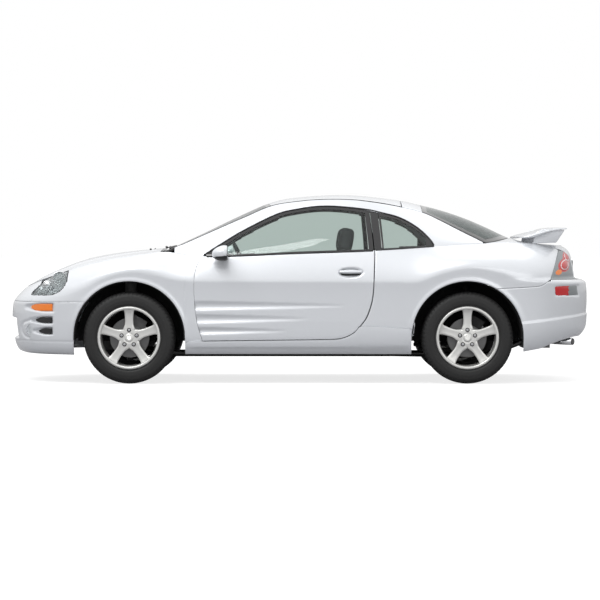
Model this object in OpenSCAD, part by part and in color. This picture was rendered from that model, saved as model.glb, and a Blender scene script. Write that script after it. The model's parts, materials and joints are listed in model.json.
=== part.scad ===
// Two-door coupe car with a liftback. Millimetres. The nose points to -X, the left side to -Y,
// +Z is up, and the origin is on the ground at the middle of the car.

/* [Body] */
// Length from bumper to bumper
body_l = 4300; // [3900:10:5200]
// Width without the mirrors
body_w = 1740; // [1440:10:2100]
// Height of the roof above the ground
body_h = 1380; // [1250:10:1500]
// Distance between the axles
wheelbase = 2450; // [2300:10:2700]
// Distance from the front bumper to the front axle
front_overhang = 920; // [850:10:1050]

/* [Panels] */
// Thickness of the hood
hood_t = 22; // [15:1:40]
// Thickness of the roof
roof_t = 26; // [18:1:45]
// Thickness of the fenders and bumper covers
skin_t = 6; // [4:0.5:9]
// Thickness of the body side and of the hatch frame
side_t = 34; // [20:1:45]
// Thickness of a whole door, with its trim
door_t = 78; // [55:1:100]
// Thickness of the window glass
glass_t = 5; // [3:0.5:7]
// Gap round the doors, hood and hatch
lid_gap = 7; // [6:0.5:12]
// Joint between fixed panels
seam = 0.5; // [0.2:0.1:0.9]

/* [Wheels] */
// Outer diameter of the tyres
tyre_d = 668; // [560:2:700]
// Width of the tyres
tyre_w = 215; // [175:5:235]
// Diameter of the rim where the tyre sits
rim_d = 432; // [380:2:470]
// Radius of the wheel arches
arch_r = 405; // [385:1:440]
// Distance between the tyres' middle planes
track = 1476; // [1380:2:1560]
// Radius of the wheel spindles
spindle_r = 25; // [18:1:32]
// Diameter of the brake discs
disc_d = 290; // [250:2:320]

/* [Hidden] */
$fn = 48;

// The curves below are drawn on a car of these sizes, and then stretched to the real ones.
drawn_front = -1230;
drawn_rear = 1220;
drawn_end = 2150;
front_x = -body_l / 2 + front_overhang;
rear_x = front_x + wheelbase;
wide_k = body_w / 1740;
tall_k = body_h / 1380;
bearing_gap = 0.05;
pin_gap = 0.3;
hub_z = tyre_d / 2;

// Middle line of the car seen from the side: hood, cabin and boot lid.
HOOD_LINE = [[-2150, 540], [-2120, 615], [-2041, 694], [-1980, 733], [-1920, 769], [-1860, 798],
    [-1740, 850], [-1619, 894], [-1498, 923], [-1380, 944], [-1257, 960], [-1137, 972],
    [-1010, 984]];
CABIN_LINE = [[-960, 978], [-907, 1003], [-715, 1093], [-474, 1210], [-294, 1292], [-233, 1316],
    [-113, 1349], [7, 1364], [188, 1378], [369, 1380], [550, 1366], [790, 1334], [911, 1305],
    [1031, 1276], [1152, 1239], [1272, 1195], [1393, 1143], [1513, 1086], [1573, 1060]];
DECK_LINE = [[1364, 1035], [1439, 1045], [1573, 1060], [1640, 1040], [1750, 1020], [1965, 1003]];
// How far the hood's edge lies below its middle.
HOOD_DROP = [[-2041, 0], [-1971, 14], [-1860, 32], [-1740, 45], [-1500, 45], [-1300, 40],
    [-1000, 26]];
// Half width at the crest of the side, and the crest's height, which rises over the wheels.
WIDE = [[-2150, 850], [-1500, 860], [-1230, 868], [-900, 852], [-600, 848], [0, 850], [600, 856],
    [900, 864], [1220, 870], [1500, 866], [2150, 850]];
CREST = [[-2150, 600], [-1700, 640], [-1560, 692], [-1400, 765], [-1210, 806], [-1050, 785],
    [-897, 750], [-700, 741], [0, 739], [700, 737], [870, 740], [1044, 799], [1246, 834],
    [1449, 802], [1601, 753], [1750, 742], [2150, 738]];
// Upper edge of the side: hood seam, belt line, and boot lid seam.
EDGE_Y = [[-2150, 673], [-1300, 673], [-1000, 690], [-868, 735], [-695, 790], [-300, 796],
    [0, 797], [545, 790], [800, 768], [978, 738], [1178, 678], [1364, 610], [1500, 618],
    [1700, 625], [2150, 600]];
EDGE_Z = [[-2150, 850], [-1740, 880], [-1619, 895], [-1500, 893], [-1400, 904], [-1300, 917],
    [-1000, 958], [-868, 947], [-695, 924], [0, 949], [545, 968], [978, 995], [1178, 1008],
    [1364, 1020], [1500, 1026], [1640, 1020], [1800, 1008], [2150, 990]];
// Windscreen pillar, roof rail and the side edge of the rear glass.
RAIL_Y = [[-985, 700], [-865, 690], [-600, 640], [-400, 600], [-205, 562], [0, 565], [150, 575],
    [500, 572], [737, 545], [916, 540], [1033, 548], [1178, 565], [1364, 600], [1573, 620]];
RAIL_Z = [[-985, 956], [-865, 1005], [-600, 1122], [-400, 1210], [-205, 1293], [-50, 1322],
    [150, 1340], [370, 1340], [550, 1322], [737, 1289], [916, 1243], [1033, 1189], [1178, 1114],
    [1364, 1020], [1439, 975], [1573, 915]];
// Upper edge of the side windows.
WINDOW_Z = [[-697, 926], [-560, 1015], [-412, 1105], [-153, 1232], [0, 1268], [153, 1287],
    [300, 1284], [503, 1262], [590, 1243], [736, 1203], [860, 1133], [950, 1050], [984, 999]];
// Front-most and rear-most points at each height.
NOSE_X = [[205, -2040], [225, -2095], [300, -2130], [400, -2147], [468, -2150], [560, -2144],
    [592, -2135], [637, -2101], [694, -2041], [733, -1980], [769, -1920], [798, -1860],
    [828, -1800], [850, -1740], [872, -1679], [894, -1619], [909, -1559], [930, -1460]];
TAIL_X = [[215, 1930], [255, 1990], [336, 2086], [398, 2131], [480, 2142], [600, 2150],
    [730, 2142], [745, 2125], [757, 2095], [765, 2062], [800, 2052], [870, 2042], [923, 2030],
    [960, 2015], [985, 1990], [1000, 1960]];
NOSE_ROUND = 2.3;
TAIL_ROUND = 2.8;
NOSE_START = -1300;
TAIL_START = 1400;
// Tuck-in of the side, below the crest and near the sill.
TUCK = [[0, 0], [60, 5], [150, 9], [300, 12], [600, 14]];
SILL_TUCK = [[205, 60], [240, 34], [270, 20], [310, 10], [360, 4], [450, 0]];
// Rounding of the shoulder above the crest.
SHOULDER = [[-1100, 2.6], [-750, 1.4], [800, 1.4], [1100, 1.9], [1400, 2.4]];
// Door edges: x at each height, and the lower line of the door and side.
DOOR_FRONT = [[300, -694], [450, -738], [600, -755], [760, -757], [860, -735], [924, -695]];
DOOR_REAR = [[420, 440], [472, 480], [560, 515], [649, 533], [800, 541], [966, 545], [1262, 512]];
SKIRT_Z = [[-823, 304], [-697, 312], [231, 325], [330, 332], [430, 355], [500, 385], [545, 420],
    [815, 400]];
door_front_x = -697;
door_rear_x = 545;
sill_z = 215;
bumper_seam_z = 592;
arch_mid_z = 340;
quarter_x0 = 562;
quarter_x1 = 980;
header_x = -235;
roof_end_x = 750;
glass_top_x = 905;
lamp_y = 400;
hinge_x = -657;
hinge_y = 818;

// ---- Curves ----
function seg(K, x, i = 0) = i >= len(K) - 2 || x < K[i + 1][0] ? i : seg(K, x, i + 1);
function slope(K, i) = i <= 0 ? (K[1][1] - K[0][1]) / (K[1][0] - K[0][0])
    : i >= len(K) - 1 ? (K[i][1] - K[i - 1][1]) / (K[i][0] - K[i - 1][0])
    : (K[i + 1][1] - K[i - 1][1]) / (K[i + 1][0] - K[i - 1][0]);
function hermite(a, b, ma, mb, h, t) = a * (1 + 2 * t) * pow(1 - t, 2) + ma * h * t * pow(1 - t, 2)
    + b * t * t * (3 - 2 * t) + mb * h * t * t * (t - 1);
function sp(K, x) = x <= K[0][0] ? K[0][1] : x >= K[len(K) - 1][0] ? K[len(K) - 1][1]
    : let (i = seg(K, x), h = K[i + 1][0] - K[i][0])
        hermite(K[i][1], K[i + 1][1], slope(K, i), slope(K, i + 1), h, (x - K[i][0]) / h);
function clamp(v, a, b) = min(max(v, a), b);
function lerp(a, b, t) = a + (b - a) * t;
function hat(x, a, b, c) = x <= a || x >= c ? 0 : x < b ? (x - a) / (b - a) : (c - x) / (c - b);
function corner(s, n) = s <= 0 ? 1 : s >= 1 ? 0 : pow(1 - pow(s, n), 1 / n);

// ---- The body's surface, on the drawn car ----
function below(x, z) = sp(WIDE, x) - sp(TUCK, sp(CREST, x) - z) - sp(SILL_TUCK, z);
function above(x, z) = let (w = sp(WIDE, x), e = sp(EDGE_Y, x), c = sp(CREST, x),
    t = clamp((z - c) / (sp(EDGE_Z, x) - c), 0, 1))
    w - (w - e) * pow(t, sp(SHOULDER, x));
function cabin(x, z) = let (e = sp(EDGE_Z, x), r = sp(RAIL_Z, x),
    t = clamp((z - e) / max(r - e, 1), 0, 1.2))
    lerp(sp(EDGE_Y, x), sp(RAIL_Y, x), pow(t, 1.18));
function section(x, z) = z < sp(CREST, x) ? below(x, z)
    : z < sp(EDGE_Z, x) || x < -985 || x > 1364 ? above(x, z) : cabin(x, z);
function half(x, z) = section(x, z)
    * corner((NOSE_START - x) / (NOSE_START - sp(NOSE_X, z)), NOSE_ROUND)
    * corner((x - TAIL_START) / (sp(TAIL_X, z) - TAIL_START), TAIL_ROUND);
function hood_edge_z(x) = sp(HOOD_LINE, x) - sp(HOOD_DROP, x);
function hood_half(x) = half(x, hood_edge_z(x));
function top_z(x, y) = let (z = sp(CABIN_LINE, x))
    z - (z - sp(RAIL_Z, x)) * pow(abs(y) / sp(RAIL_Y, x), 2.2);
function deck_z(x, y) = let (z = sp(DECK_LINE, x))
    z - (z - sp(EDGE_Z, x)) * pow(abs(y) / sp(EDGE_Y, x), 2);
function bend(x, z) = x + hat(x, -825, door_front_x, -500) * (sp(DOOR_FRONT, z) - door_front_x)
    + hat(x, 250, door_rear_x, 815) * (sp(DOOR_REAR, z) - door_rear_x);

// ---- From the drawn car to the real one ----
function real_x(x) = x < drawn_front ? front_x + (x - drawn_front) * front_overhang / 920
    : x > drawn_rear ? rear_x + (x - drawn_rear) * (body_l / 2 - rear_x) / 930
    : front_x + (x - drawn_front) * wheelbase / 2450;
function drawn_x(x) = x < front_x ? drawn_front + (x - front_x) * 920 / front_overhang
    : x > rear_x ? drawn_rear + (x - rear_x) * 930 / (body_l / 2 - rear_x)
    : drawn_front + (x - front_x) * 2450 / wheelbase;
function real(p) = [real_x(p[0]), p[1] * wide_k, p[2] * tall_k];
function reals(G) = [for (r = G) [for (p = r) real(p)]];
// Height of the wheel arches' edge over a drawn x, and the arch's drawn x at a drawn height.
function arch_z(x) = let (fx = real_x(x),
    d = min(abs(fx - front_x), abs(fx - rear_x)))
    d >= arch_r ? 0 : (arch_mid_z + sqrt(arch_r * arch_r - d * d)) / tall_k;
function arch_edge(z, side, hub_x) = let (h = max(z * tall_k - arch_mid_z, 0))
    drawn_x(hub_x + side * sqrt(max(arch_r * arch_r - h * h, 1)));

// ---- Sheets ----
function unit(v) = v / max(norm(v), 1e-9);
function normal(G, i, j) = let (n = len(G) - 1, m = len(G[0]) - 1)
    unit(cross(G[min(i + 1, n)][j] - G[max(i - 1, 0)][j], G[i][min(j + 1, m)] - G[i][max(j - 1, 0)]));
function quad(a, b, c, d) = [[a, b, c], [a, c, d]];
// An inner grid at depth t, with its edge rows and columns moved by a, b (first index), c and d.
O = [0, 0, 0];
function inner(G, t, a = O, b = O, c = O, d = O) = let (n = len(G) - 1, m = len(G[0]) - 1)
    [for (i = [0 : n]) [for (j = [0 : m]) G[i][j] - normal(G, i, j) * t
        + (i == 0 ? a : O) + (i == n ? b : O) + (j == 0 ? c : O) + (j == m ? d : O)]];
// A closed sheet between an outer grid A and an inner grid B, seen from outside with the first
// index to the right and the second one up. Cells where skip(i, j) is true are left open.
module sheet(A, B, holes = []) {
    nu = len(A);
    nv = len(A[0]);
    nb = nu * nv;
    function on(i, j) = i >= 0 && j >= 0 && i < nu - 1 && j < nv - 1
        && len([for (h = holes) if (i >= h[0] && i < h[1] && j >= h[2] && j < h[3]) 1]) == 0;
    function a(i, j) = i * nv + j;
    function b(i, j) = nb + i * nv + j;
    faces = [for (i = [0 : nu - 2]) for (j = [0 : nv - 2]) if (on(i, j)) each concat(
        quad(a(i, j), a(i, j + 1), a(i + 1, j + 1), a(i + 1, j)),
        quad(b(i, j), b(i + 1, j), b(i + 1, j + 1), b(i, j + 1)),
        on(i, j - 1) ? [] : quad(a(i, j), a(i + 1, j), b(i + 1, j), b(i, j)),
        on(i, j + 1) ? [] : quad(a(i + 1, j + 1), a(i, j + 1), b(i, j + 1), b(i + 1, j + 1)),
        on(i - 1, j) ? [] : quad(a(i, j + 1), a(i, j), b(i, j), b(i, j + 1)),
        on(i + 1, j) ? [] : quad(a(i + 1, j), a(i + 1, j + 1), b(i + 1, j + 1), b(i + 1, j)))];
    polyhedron(points = concat([for (r = A) each r], [for (r = B) each r]), faces = faces);
}
module skin(G, t) sheet(G, inner(G, t));
function steps(n) = [for (i = [0 : n]) i / n];
module both() {
    children();
    mirror([0, 1, 0]) children();
}
// Joins sheets and blocks into one solid.
module join() resize([0, 0, 0]) union() children();

// ---- Grids of the side, drawn on the left ----
function side_point(x, z) = let (bx = bend(x, z)) [bx, -half(bx, z), z];
function side_grid(X, low, high, n) = reals([for (x = X) let (a = low(x), b = high(x))
    [for (t = steps(n)) side_point(x, lerp(a, b, t))]]);
function spread(a, b, n) = [for (i = [0 : n]) lerp(a, b, i / n)];

// ---- Front ----
stop_z = 776;
nose_n = 2 / NOSE_ROUND;
tail_n = 2 / TAIL_ROUND;
function nose_point(s, z, end_x) = let (nx = sp(NOSE_X, z), len_x = NOSE_START - nx,
    end = acos(pow(clamp((NOSE_START - end_x) / len_x, 0, 1), 1 / nose_n)),
    f = abs(s) * end, x = NOSE_START - len_x * pow(cos(f), nose_n))
    [x, sign(s) * section(x, z) * pow(sin(f), nose_n), z];
function tail_point(s, z, end_x) = let (tx = sp(TAIL_X, z), len_x = tx - TAIL_START,
    end = acos(pow(clamp((end_x - TAIL_START) / len_x, 0, 1), 1 / tail_n)),
    f = abs(s) * end, x = TAIL_START + len_x * pow(cos(f), tail_n))
    [x, sign(s) * section(x, z) * pow(sin(f), tail_n), z];

module front_bumper() color([0.84, 0.86, 0.89])
    skin(reals([for (s = spread(1, -1, 44)) [for (t = steps(9))
        let (z = lerp(207, bumper_seam_z - seam, t))
        nose_point(s, z, arch_edge(z, -1, front_x))]]), skin_t);

// The panel between the headlamps, ahead of the hood.
function nose_high(s) = max(680, hood_edge_z(nose_point(s, 690, -1985)[0]) - lid_gap - 3);
module nose_panel() color([0.84, 0.86, 0.89]) {
    G = reals([for (s = spread(1, -1, 16)) [for (t = steps(4))
        nose_point(s, lerp(bumper_seam_z + 0.3, nose_high(s), t), -1985)]]);
    sheet(G, inner(G, skin_t * 2, c = [0, 0, 9]));
}

module hood() color([0.84, 0.86, 0.89]) join() {
    X = [for (t = steps(18)) lerp(-2034, -1012, pow(t, 1.35))];
    skin(reals([for (x = X) let (w = hood_half(x) - lid_gap)
        [for (q = spread(-1, 1, 14)) [x, q * w, sp(HOOD_LINE, x) - sp(HOOD_DROP, x) * q * q]]]),
        hood_t);
    both() translate([real_x(-1785), -415, stop_z * tall_k]) cube([30, 30, 28]);
}

function lamp_low(x) = sp([[-1975, 640], [-1850, 641], [-1793, 645], [-1732, 676], [-1700, 715],
    [-1688, 745]], x);
function fender_low(x) = max(x < -1400 ? bumper_seam_z + 0.5
    : x > -900 ? sp(SKIRT_Z, x) + seam : 0, arch_z(x));
function fender_high(x) = x < -1687 ? lamp_low(x) - seam : min(hood_edge_z(x), sp(EDGE_Z, x)) - 0.8;
arch_f0 = arch_edge(bumper_seam_z, -1, front_x);
arch_f1 = arch_edge(arch_mid_z, 1, front_x);
LAMP_X = concat(spread(-1965, -1720, 6), [-1700, -1688.5]);
FENDER_X = concat(LAMP_X, [-1686.5], spread(-1650, arch_f0 - 1, 2),
    [for (f = [47 : 10.2 : 170]) drawn_x(front_x - arch_r * cos(f))], [arch_f1 - 1, arch_f1 + 1],
    spread(arch_f1 + 40, door_front_x - lid_gap, 2));
module fender() color([0.84, 0.86, 0.89]) {
    G = side_grid(FENDER_X, function (x) fender_low(x), function (x) fender_high(x), 8);
    sheet(G, [for (r = G) [for (j = [0 : 8]) r[j] + [0, skin_t, j == 8 ? -9 : 0]]]);
}
module fender_left() fender();
module fender_right() mirror([0, 1, 0]) fender();

module headlamp() color([0.72, 0.76, 0.78]) {
    G = side_grid(LAMP_X, function (x) lamp_low(x) + 0.3,
        function (x) min(hood_edge_z(x) - 4.5, lamp_low(x) + max(50, 1.1 * (x + 1962) + 50)), 5);
    sheet(G, [for (r = G) [for (j = [0 : 5]) r[j] + [0, 24, j == 5 ? -40 : 0]]]);
}
module headlamp_left() headlamp();
module headlamp_right() mirror([0, 1, 0]) headlamp();

// ---- Cabin ----
function screen_point(s, q) = let (x = lerp(-950 + 85 * q * q, header_x + 30 * q * q - seam, s),
    y = q * (sp(RAIL_Y, x) - 2.6)) [x, y, top_z(x, y)];
module windscreen() color([0.55, 0.62, 0.6, 0.5])
    skin(reals([for (s = steps(12)) [for (q = spread(-1, 1, 14)) screen_point(s, q)]]), glass_t);

function roof_point(s, q) = let (x = lerp(header_x + 30 * q * q + seam, roof_end_x, s),
    y = q * (sp(RAIL_Y, x) - 1)) [x, y, top_z(x, y)];
module roof_panel() color([0.84, 0.86, 0.89]) {
    G = reals([for (s = steps(14)) [for (q = spread(-1, 1, 14)) roof_point(s, q)]]);
    sheet(G, inner(G, roof_t, c = [0, 24, 0], d = [0, -24, 0]));
}

// The black panel under the wipers, with the wiper arms on it.
module cowl_panel() color([0.08, 0.08, 0.09]) join() {
    skin(reals([for (s = steps(4)) [for (q = spread(-0.955, 0.955, 12))
        let (x1 = -950 + 85 * q * q, y = q * (sp(RAIL_Y, x1) - 2.6))
        [lerp(-1003, x1 - 0.7, s), y, lerp(962 - 22 * q * q, top_z(x1, y) - 0.4, s)]]]), 14);
}

// ---- Sides ----
function rail_z(x) = sp(RAIL_Z, x);
function door_top(x) = sp(EDGE_Z, x) + 3;
function side_low(x) = max(sp(SKIRT_Z, x) - 0.5, arch_z(x));
rear_0 = arch_edge(arch_mid_z, -1, rear_x);
rear_1 = arch_edge(arch_mid_z, 1, rear_x);
function bumper_top(x) = sp([[1380, 686], [1700, 703], [1760, 712], [1800, 738], [1824, 757]], x);
function quarter_low(x) = x > drawn_rear ? max(bumper_top(x) + seam, arch_z(x)) : side_low(x);
function quarter_high(x) = sp(EDGE_Z, x) - (x > 1364 ? lid_gap / 3 : 0);
QUARTER_X = concat(spread(door_rear_x + lid_gap, 800, 4), [rear_0 - 1, rear_0 + 1],
    [for (f = [12 : 10.6 : 116]) drawn_x(rear_x - arch_r * cos(f))],
    [1470, 1560, 1650, 1742]);
ROCKER_X = concat([arch_f1 + 1, door_front_x - 21], spread(door_front_x - 19, rear_0 - 1, 13));
function rocker_high(x) = sp(SKIRT_Z, x) - (x > door_front_x - 20 && x < door_rear_x ? lid_gap : 0.5);
module rocker() {
    G = side_grid(ROCKER_X, function (x) sill_z, function (x) rocker_high(x), 3);
    sheet(G, inner(G, 45, d = [0, 0, -14]));
}
module quarter_panel() {
    G = side_grid(QUARTER_X, function (x) quarter_low(x), function (x) quarter_high(x), 8);
    sheet(G, inner(G, side_t, c = [0, 0, 8], d = [0, -18, -10]));
}
// The corner behind it follows the edge of the tail lamp, then the side of the boot lid.
function tail_edge(z) = min(lamp_front(z), face_point(min(z, 1001), -1)[0] - lid_gap) - 3 * seam;
module tail_corner() {
    G = reals([for (s = steps(8)) [for (t = steps(9))
        let (x = lerp(1740, tail_edge(lerp(759, 1004, t)), s))
        side_point(x, lerp(bumper_top(min(x, 1824)) + 1.8 + 2.2 * hat(x, 1780, 1806, 1832),
            quarter_high(x), t))]]);
    sheet(G, inner(G, skin_t, d = [0, -5, -4]));
}
// Pillar and rail above the windows, then the rear pillar down to the belt line.
function upper_low(x) = x > 984 ? sp(EDGE_Z, x) - 0.5
    : x < -697 ? sp(EDGE_Z, x) : sp(WINDOW_Z, x) + 4;
RAIL_X = concat([-905, -840, -770, -698], spread(-640, 480, 13), [540, 600, 680, 760, 840, 900, 940,
    970, 983.5, 985, 1040, 1100, 1178, 1250, 1310, 1345]);
module roof_rail() {
    G = side_grid(RAIL_X, function (x) upper_low(x),
        function (x) rail_z(x) - (x > roof_end_x ? lid_gap / 2 : 0), 3);
    sheet(G, inner(G, side_t, d = [0, 0, -34]));
}
module middle_pillar() skin(side_grid([door_rear_x + lid_gap, 560 - seam],
    function (x) sp(EDGE_Z, x) - 1, function (x) sp(WINDOW_Z, x) + 5, 4), side_t);
module sill_box() translate([real_x(-800), -775 * wide_k, 225 * tall_k])
    cube([real_x(800) - real_x(-800), 75 * wide_k, 60]);
module body_side() color([0.84, 0.86, 0.89]) join() {
    rocker();
    quarter_panel();
    tail_corner();
    roof_rail();
    middle_pillar();
    sill_box();
}
module body_side_left() body_side();
module body_side_right() mirror([0, 1, 0]) body_side();

function door_low(x) = sp(SKIRT_Z, x) + 1;
DOOR_X = spread(door_front_x, door_rear_x - 0.5, 16);
DOOR_GRID = side_grid(DOOR_X, function (x) door_low(x), function (x) sp(EDGE_Z, x) - 1, 9);
// The thick part starts behind the hinges, and the outer skin runs on to the fender. Its inner
// face stands in from the edges, so that the shut faces taper.
module door() color([0.84, 0.86, 0.89]) join() {
    skin(DOOR_GRID, skin_t);
    G = side_grid(spread(door_front_x + 135, door_rear_x - 6, 12),
        function (x) door_low(x) + 2, function (x) sp(EDGE_Z, x) - 1.5, 6);
    A = inner(G, 2);
    sheet(A, inner(A, door_t, b = [-22, 0, 0], c = [0, 0, 8]));
    door_hinge_half();
    door_handle();
}
module door_handle() translate([real_x(370), -(sp(WIDE, 370) - 18) * wide_k, 826 * tall_k])
    rotate([0, 90, 0]) hull() {
        translate([0, 0, -88]) sphere(r = 11, $fn = 12);
        translate([0, -8, 0]) sphere(r = 14, $fn = 12);
        translate([0, 0, 88]) sphere(r = 11, $fn = 12);
    }
HINGES = [560, 740];
module door_hinge_half() for (z = HINGES) translate([real_x(hinge_x), -hinge_y * wide_k, z * tall_k])
    difference() {
        union() {
            cylinder(r = 12, h = 30, center = true, $fn = 24);
            translate([6, -5, -15]) cube([100, 12, 30]);
        }
        cylinder(r = 6 + pin_gap, h = 32, center = true, $fn = 24);
    }
module door_left() door();
module door_right() mirror([0, 1, 0]) door();

// The window is frameless: the pane stands in the door and closes on the body's seal.
module door_glass() color([0.5, 0.58, 0.56, 0.5])
    skin(side_grid(concat([-672], spread(-630, door_rear_x - lid_gap + 4, 14)),
        function (x) sp(EDGE_Z, x) - 0.2, function (x) sp(WINDOW_Z, x) - 4, 5), glass_t);
module door_glass_left() door_glass();
module door_glass_right() mirror([0, 1, 0]) door_glass();

module quarter_pane() {
    G = side_grid(spread(quarter_x0, quarter_x1 - 14, 10),
        function (x) sp(EDGE_Z, x) + 0.9, function (x) sp(WINDOW_Z, x) + 1.3, 4);
    sheet(G, inner(G, glass_t, d = [0, 0, -3]));
}
module quarter_glass() color([0.45, 0.52, 0.5, 0.5]) both() quarter_pane();

// Door mirror: a foot on the door's front corner and a rounded shell on it.
module mirror_shell() color([0.75, 0.77, 0.8]) join() {
    translate([real_x(-560), -902 * wide_k, 946 * tall_k]) hull() {
        translate([-48, 0, 0]) scale([0.45, 1, 0.62]) sphere(r = 78, $fn = 20);
        translate([30, 0, 4]) scale([0.3, 1, 0.75]) sphere(r = 84, $fn = 20);
    }
    hull() {
        translate([real_x(-590), -797.8 * wide_k, 944 * tall_k]) cube([70, 4, 26], center = true);
        translate([real_x(-570), -840 * wide_k, 940 * tall_k]) cube([60, 4, 34], center = true);
    }
}
module mirror_left() mirror_shell();
module mirror_right() mirror([0, 1, 0]) mirror_shell();

// ---- Rear ----
function glass_low_x(q) = 1573 - 209 * q * q;
function rear_half(x) = sp(RAIL_Y, x) - lid_gap - 2;
function hatch_top_point(s, q) = let (x = lerp(roof_end_x + lid_gap + 1, glass_top_x, s),
    y = q * rear_half(x)) [x, y, top_z(x, y)];
function rear_glass_point(s, q) = let (x = lerp(glass_top_x + seam, glass_low_x(q), s),
    y = q * rear_half(x)) [x, y, top_z(x, y)];
function deck_half(x) = half(x, sp(EDGE_Z, x) - 2) - lid_gap - 0.03 * max(x - 1700, 0);
function deck_point(s, q) = let (x = lerp(glass_low_x(q) + 2, 1958, s),
    y = q * deck_half(x)) [x, y, deck_z(x, y)];
function tail_half(z) = lamp_y - 16 + 0.8 * clamp(z - 900, 0, 67) + 2.7 * max(z - 967, 0);
function face_point(z, q) = let (y = q * tail_half(z), tx = sp(TAIL_X, z),
    w = section(1900, z)) [TAIL_START + (tx - TAIL_START)
        * pow(1 - pow(min(abs(y) / w, 0.99), TAIL_ROUND), 1 / TAIL_ROUND), y, z];
module rear_glass() color([0.4, 0.46, 0.44, 0.6])
    skin(reals([for (s = steps(12)) [for (q = spread(-1, 1, 14)) rear_glass_point(s, q)]]), glass_t);
module hatch() color([0.84, 0.86, 0.89]) join() {
    skin(reals([for (s = steps(3)) [for (q = spread(-1, 1, 14)) hatch_top_point(s, q)]]), 14);
    skin(reals([for (s = steps(8)) [for (q = spread(-1, 1, 14)) deck_point(s, q)]]), 20);
    skin(reals([for (t = steps(7)) [for (q = spread(-1, 1, 14))
        face_point(lerp(1001, 764, t), q)]]), 20);
    both() hatch_arm();
    translate([real_x(2000), -40, 745 * tall_k]) cube([48, 80, 40]);
}
// The frame under the side edge of the rear glass, which carries it on the hatch.
module hatch_arm() skin(reals([for (s = steps(12)) let (x = lerp(roof_end_x + 60, 1420, s),
    w = rear_half(min(x, 1364)))
    [for (q = [0, 1]) let (y = -w + 38 + q * 36) [x, y, top_z(x, y) - 2 * glass_t]]]), 16);

// Wing on the boot lid, with its two swept feet.
WING_TOP = [[0, 1072], [0.12, 1086], [0.45, 1116], [0.62, 1133], [0.8, 1137], [1, 1136]];
function wing_point(q, t) = let (e = pow(abs(q), 6), s = t < 0.5 ? 2 * t : 2 - 2 * t,
    x0 = 1600 + 45 * q * q, x = lerp(x0, 1985 - 25 * q * q, s), y = q * 575,
    top = sp(WING_TOP, s) - 6 * q * q,
    thick = 7 + 22 * pow(sin(180 * pow(s, 0.7)), 1) ) [x, y, t < 0.5 ? top : top - thick];
module wing() for (i = [0 : 11]) let (q0 = lerp(-1, 1, i / 12), q1 = lerp(-1, 1, (i + 1) / 12))
    hull() for (q = [q0, q1]) for (t = [0 : 0.125 : 0.99])
        translate(real(wing_point(q, t))) cube([0.4, 0.4, 0.4], center = true);
module wing_foot() hull() for (p = [[1602, deck_z(1602, 560) + 3.2], [1730, deck_z(1730, 560) + 3.2],
    [1885, 1032], [1780, 1112], [1940, 1112]]) translate(real([p[0], -560, p[1]]))
        cube([4, 14, 4], center = true);
module spoiler() color([0.84, 0.86, 0.89]) join() {
    wing();
    both() wing_foot();
}

function lamp_front(z) = lerp(1828, 1905, clamp((z - 757) / 210, 0, 1));
function lamp_end(z) = let (tx = sp(TAIL_X, z), w = section(1900, z))
    acos(pow(clamp((lamp_front(z) - TAIL_START) / (tx - TAIL_START), 0, 1), 1 / tail_n));
function lamp_start(z) = let (w = section(1900, z)) asin(pow((lamp_y + max(0, z - 900) * 0.8) / w,
    1 / tail_n));
function tail_lamp_point(s, z) = let (f = lerp(lamp_end(z), lamp_start(z), s), tx = sp(TAIL_X, z),
    x = TAIL_START + (tx - TAIL_START) * pow(cos(f), tail_n))
    [x, -section(min(x, 1900), z) * pow(sin(f), tail_n), z];
module tail_lamp() color([0.7, 0.12, 0.12])
    skin(reals([for (s = steps(9)) [for (t = steps(6)) tail_lamp_point(s, lerp(759, 965, t))]]), 45);
module tail_lamp_left() tail_lamp();
module tail_lamp_right() mirror([0, 1, 0]) tail_lamp();

function rear_base(x) = sp([[1600, 238], [1800, 262], [1860, 285], [2030, 334], [2150, 340]], x);
function rear_seam(s, z, n = 9) = n == 0 ? z : rear_seam(s, bumper_top(tail_point(s, z,
    max(arch_edge(z, 1, rear_x), TAIL_START + 5))[0]), n - 1);
module rear_bumper() color([0.84, 0.86, 0.89]) {
    G = reals([for (s = spread(-1, 1, 60)) [for (t = steps(7))
        let (x0 = tail_point(s, 600, arch_edge(500, 1, rear_x))[0],
            z = lerp(rear_base(x0), rear_seam(s, 700) - 2.2, t))
        tail_point(s, z, max(arch_edge(z, 1, rear_x), TAIL_START + 5))]]);
    sheet(G, inner(G, skin_t, d = [0, 0, -9]));
}

// ---- Wheels. The local Y axis is the spindle, and -Y is the outer side. ----
module spun(points) rotate([90, 0, 0]) rotate_extrude($fn = 96) polygon(points);
half_w = tyre_w / 2;
tyre_r = tyre_d / 2;
bead_r = rim_d / 2;
module tyre() color([0.12, 0.12, 0.12]) spun([[bead_r, -half_w + 12], [bead_r + 22, -half_w + 10],
    [bead_r + 26, -half_w + 3], [bead_r + 58, -half_w], [tyre_r - 34, -half_w + 4],
    [tyre_r - 14, -half_w + 14], [tyre_r - 3, -half_w + 32], [tyre_r, 0],
    [tyre_r - 3, half_w - 32], [tyre_r - 14, half_w - 14], [tyre_r - 34, half_w - 4],
    [bead_r + 58, half_w], [bead_r + 26, half_w - 3], [bead_r + 22, half_w - 10],
    [bead_r, half_w - 12]]);
rim_r = bead_r - 0.3;
face_y = 46;
module spoke() rotate([90, 0, 0]) linear_extrude(34)
    polygon([[-23, 55], [23, 55], [25, 130], [37, rim_r - 6], [-37, rim_r - 6], [-25, 130]]);
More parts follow.
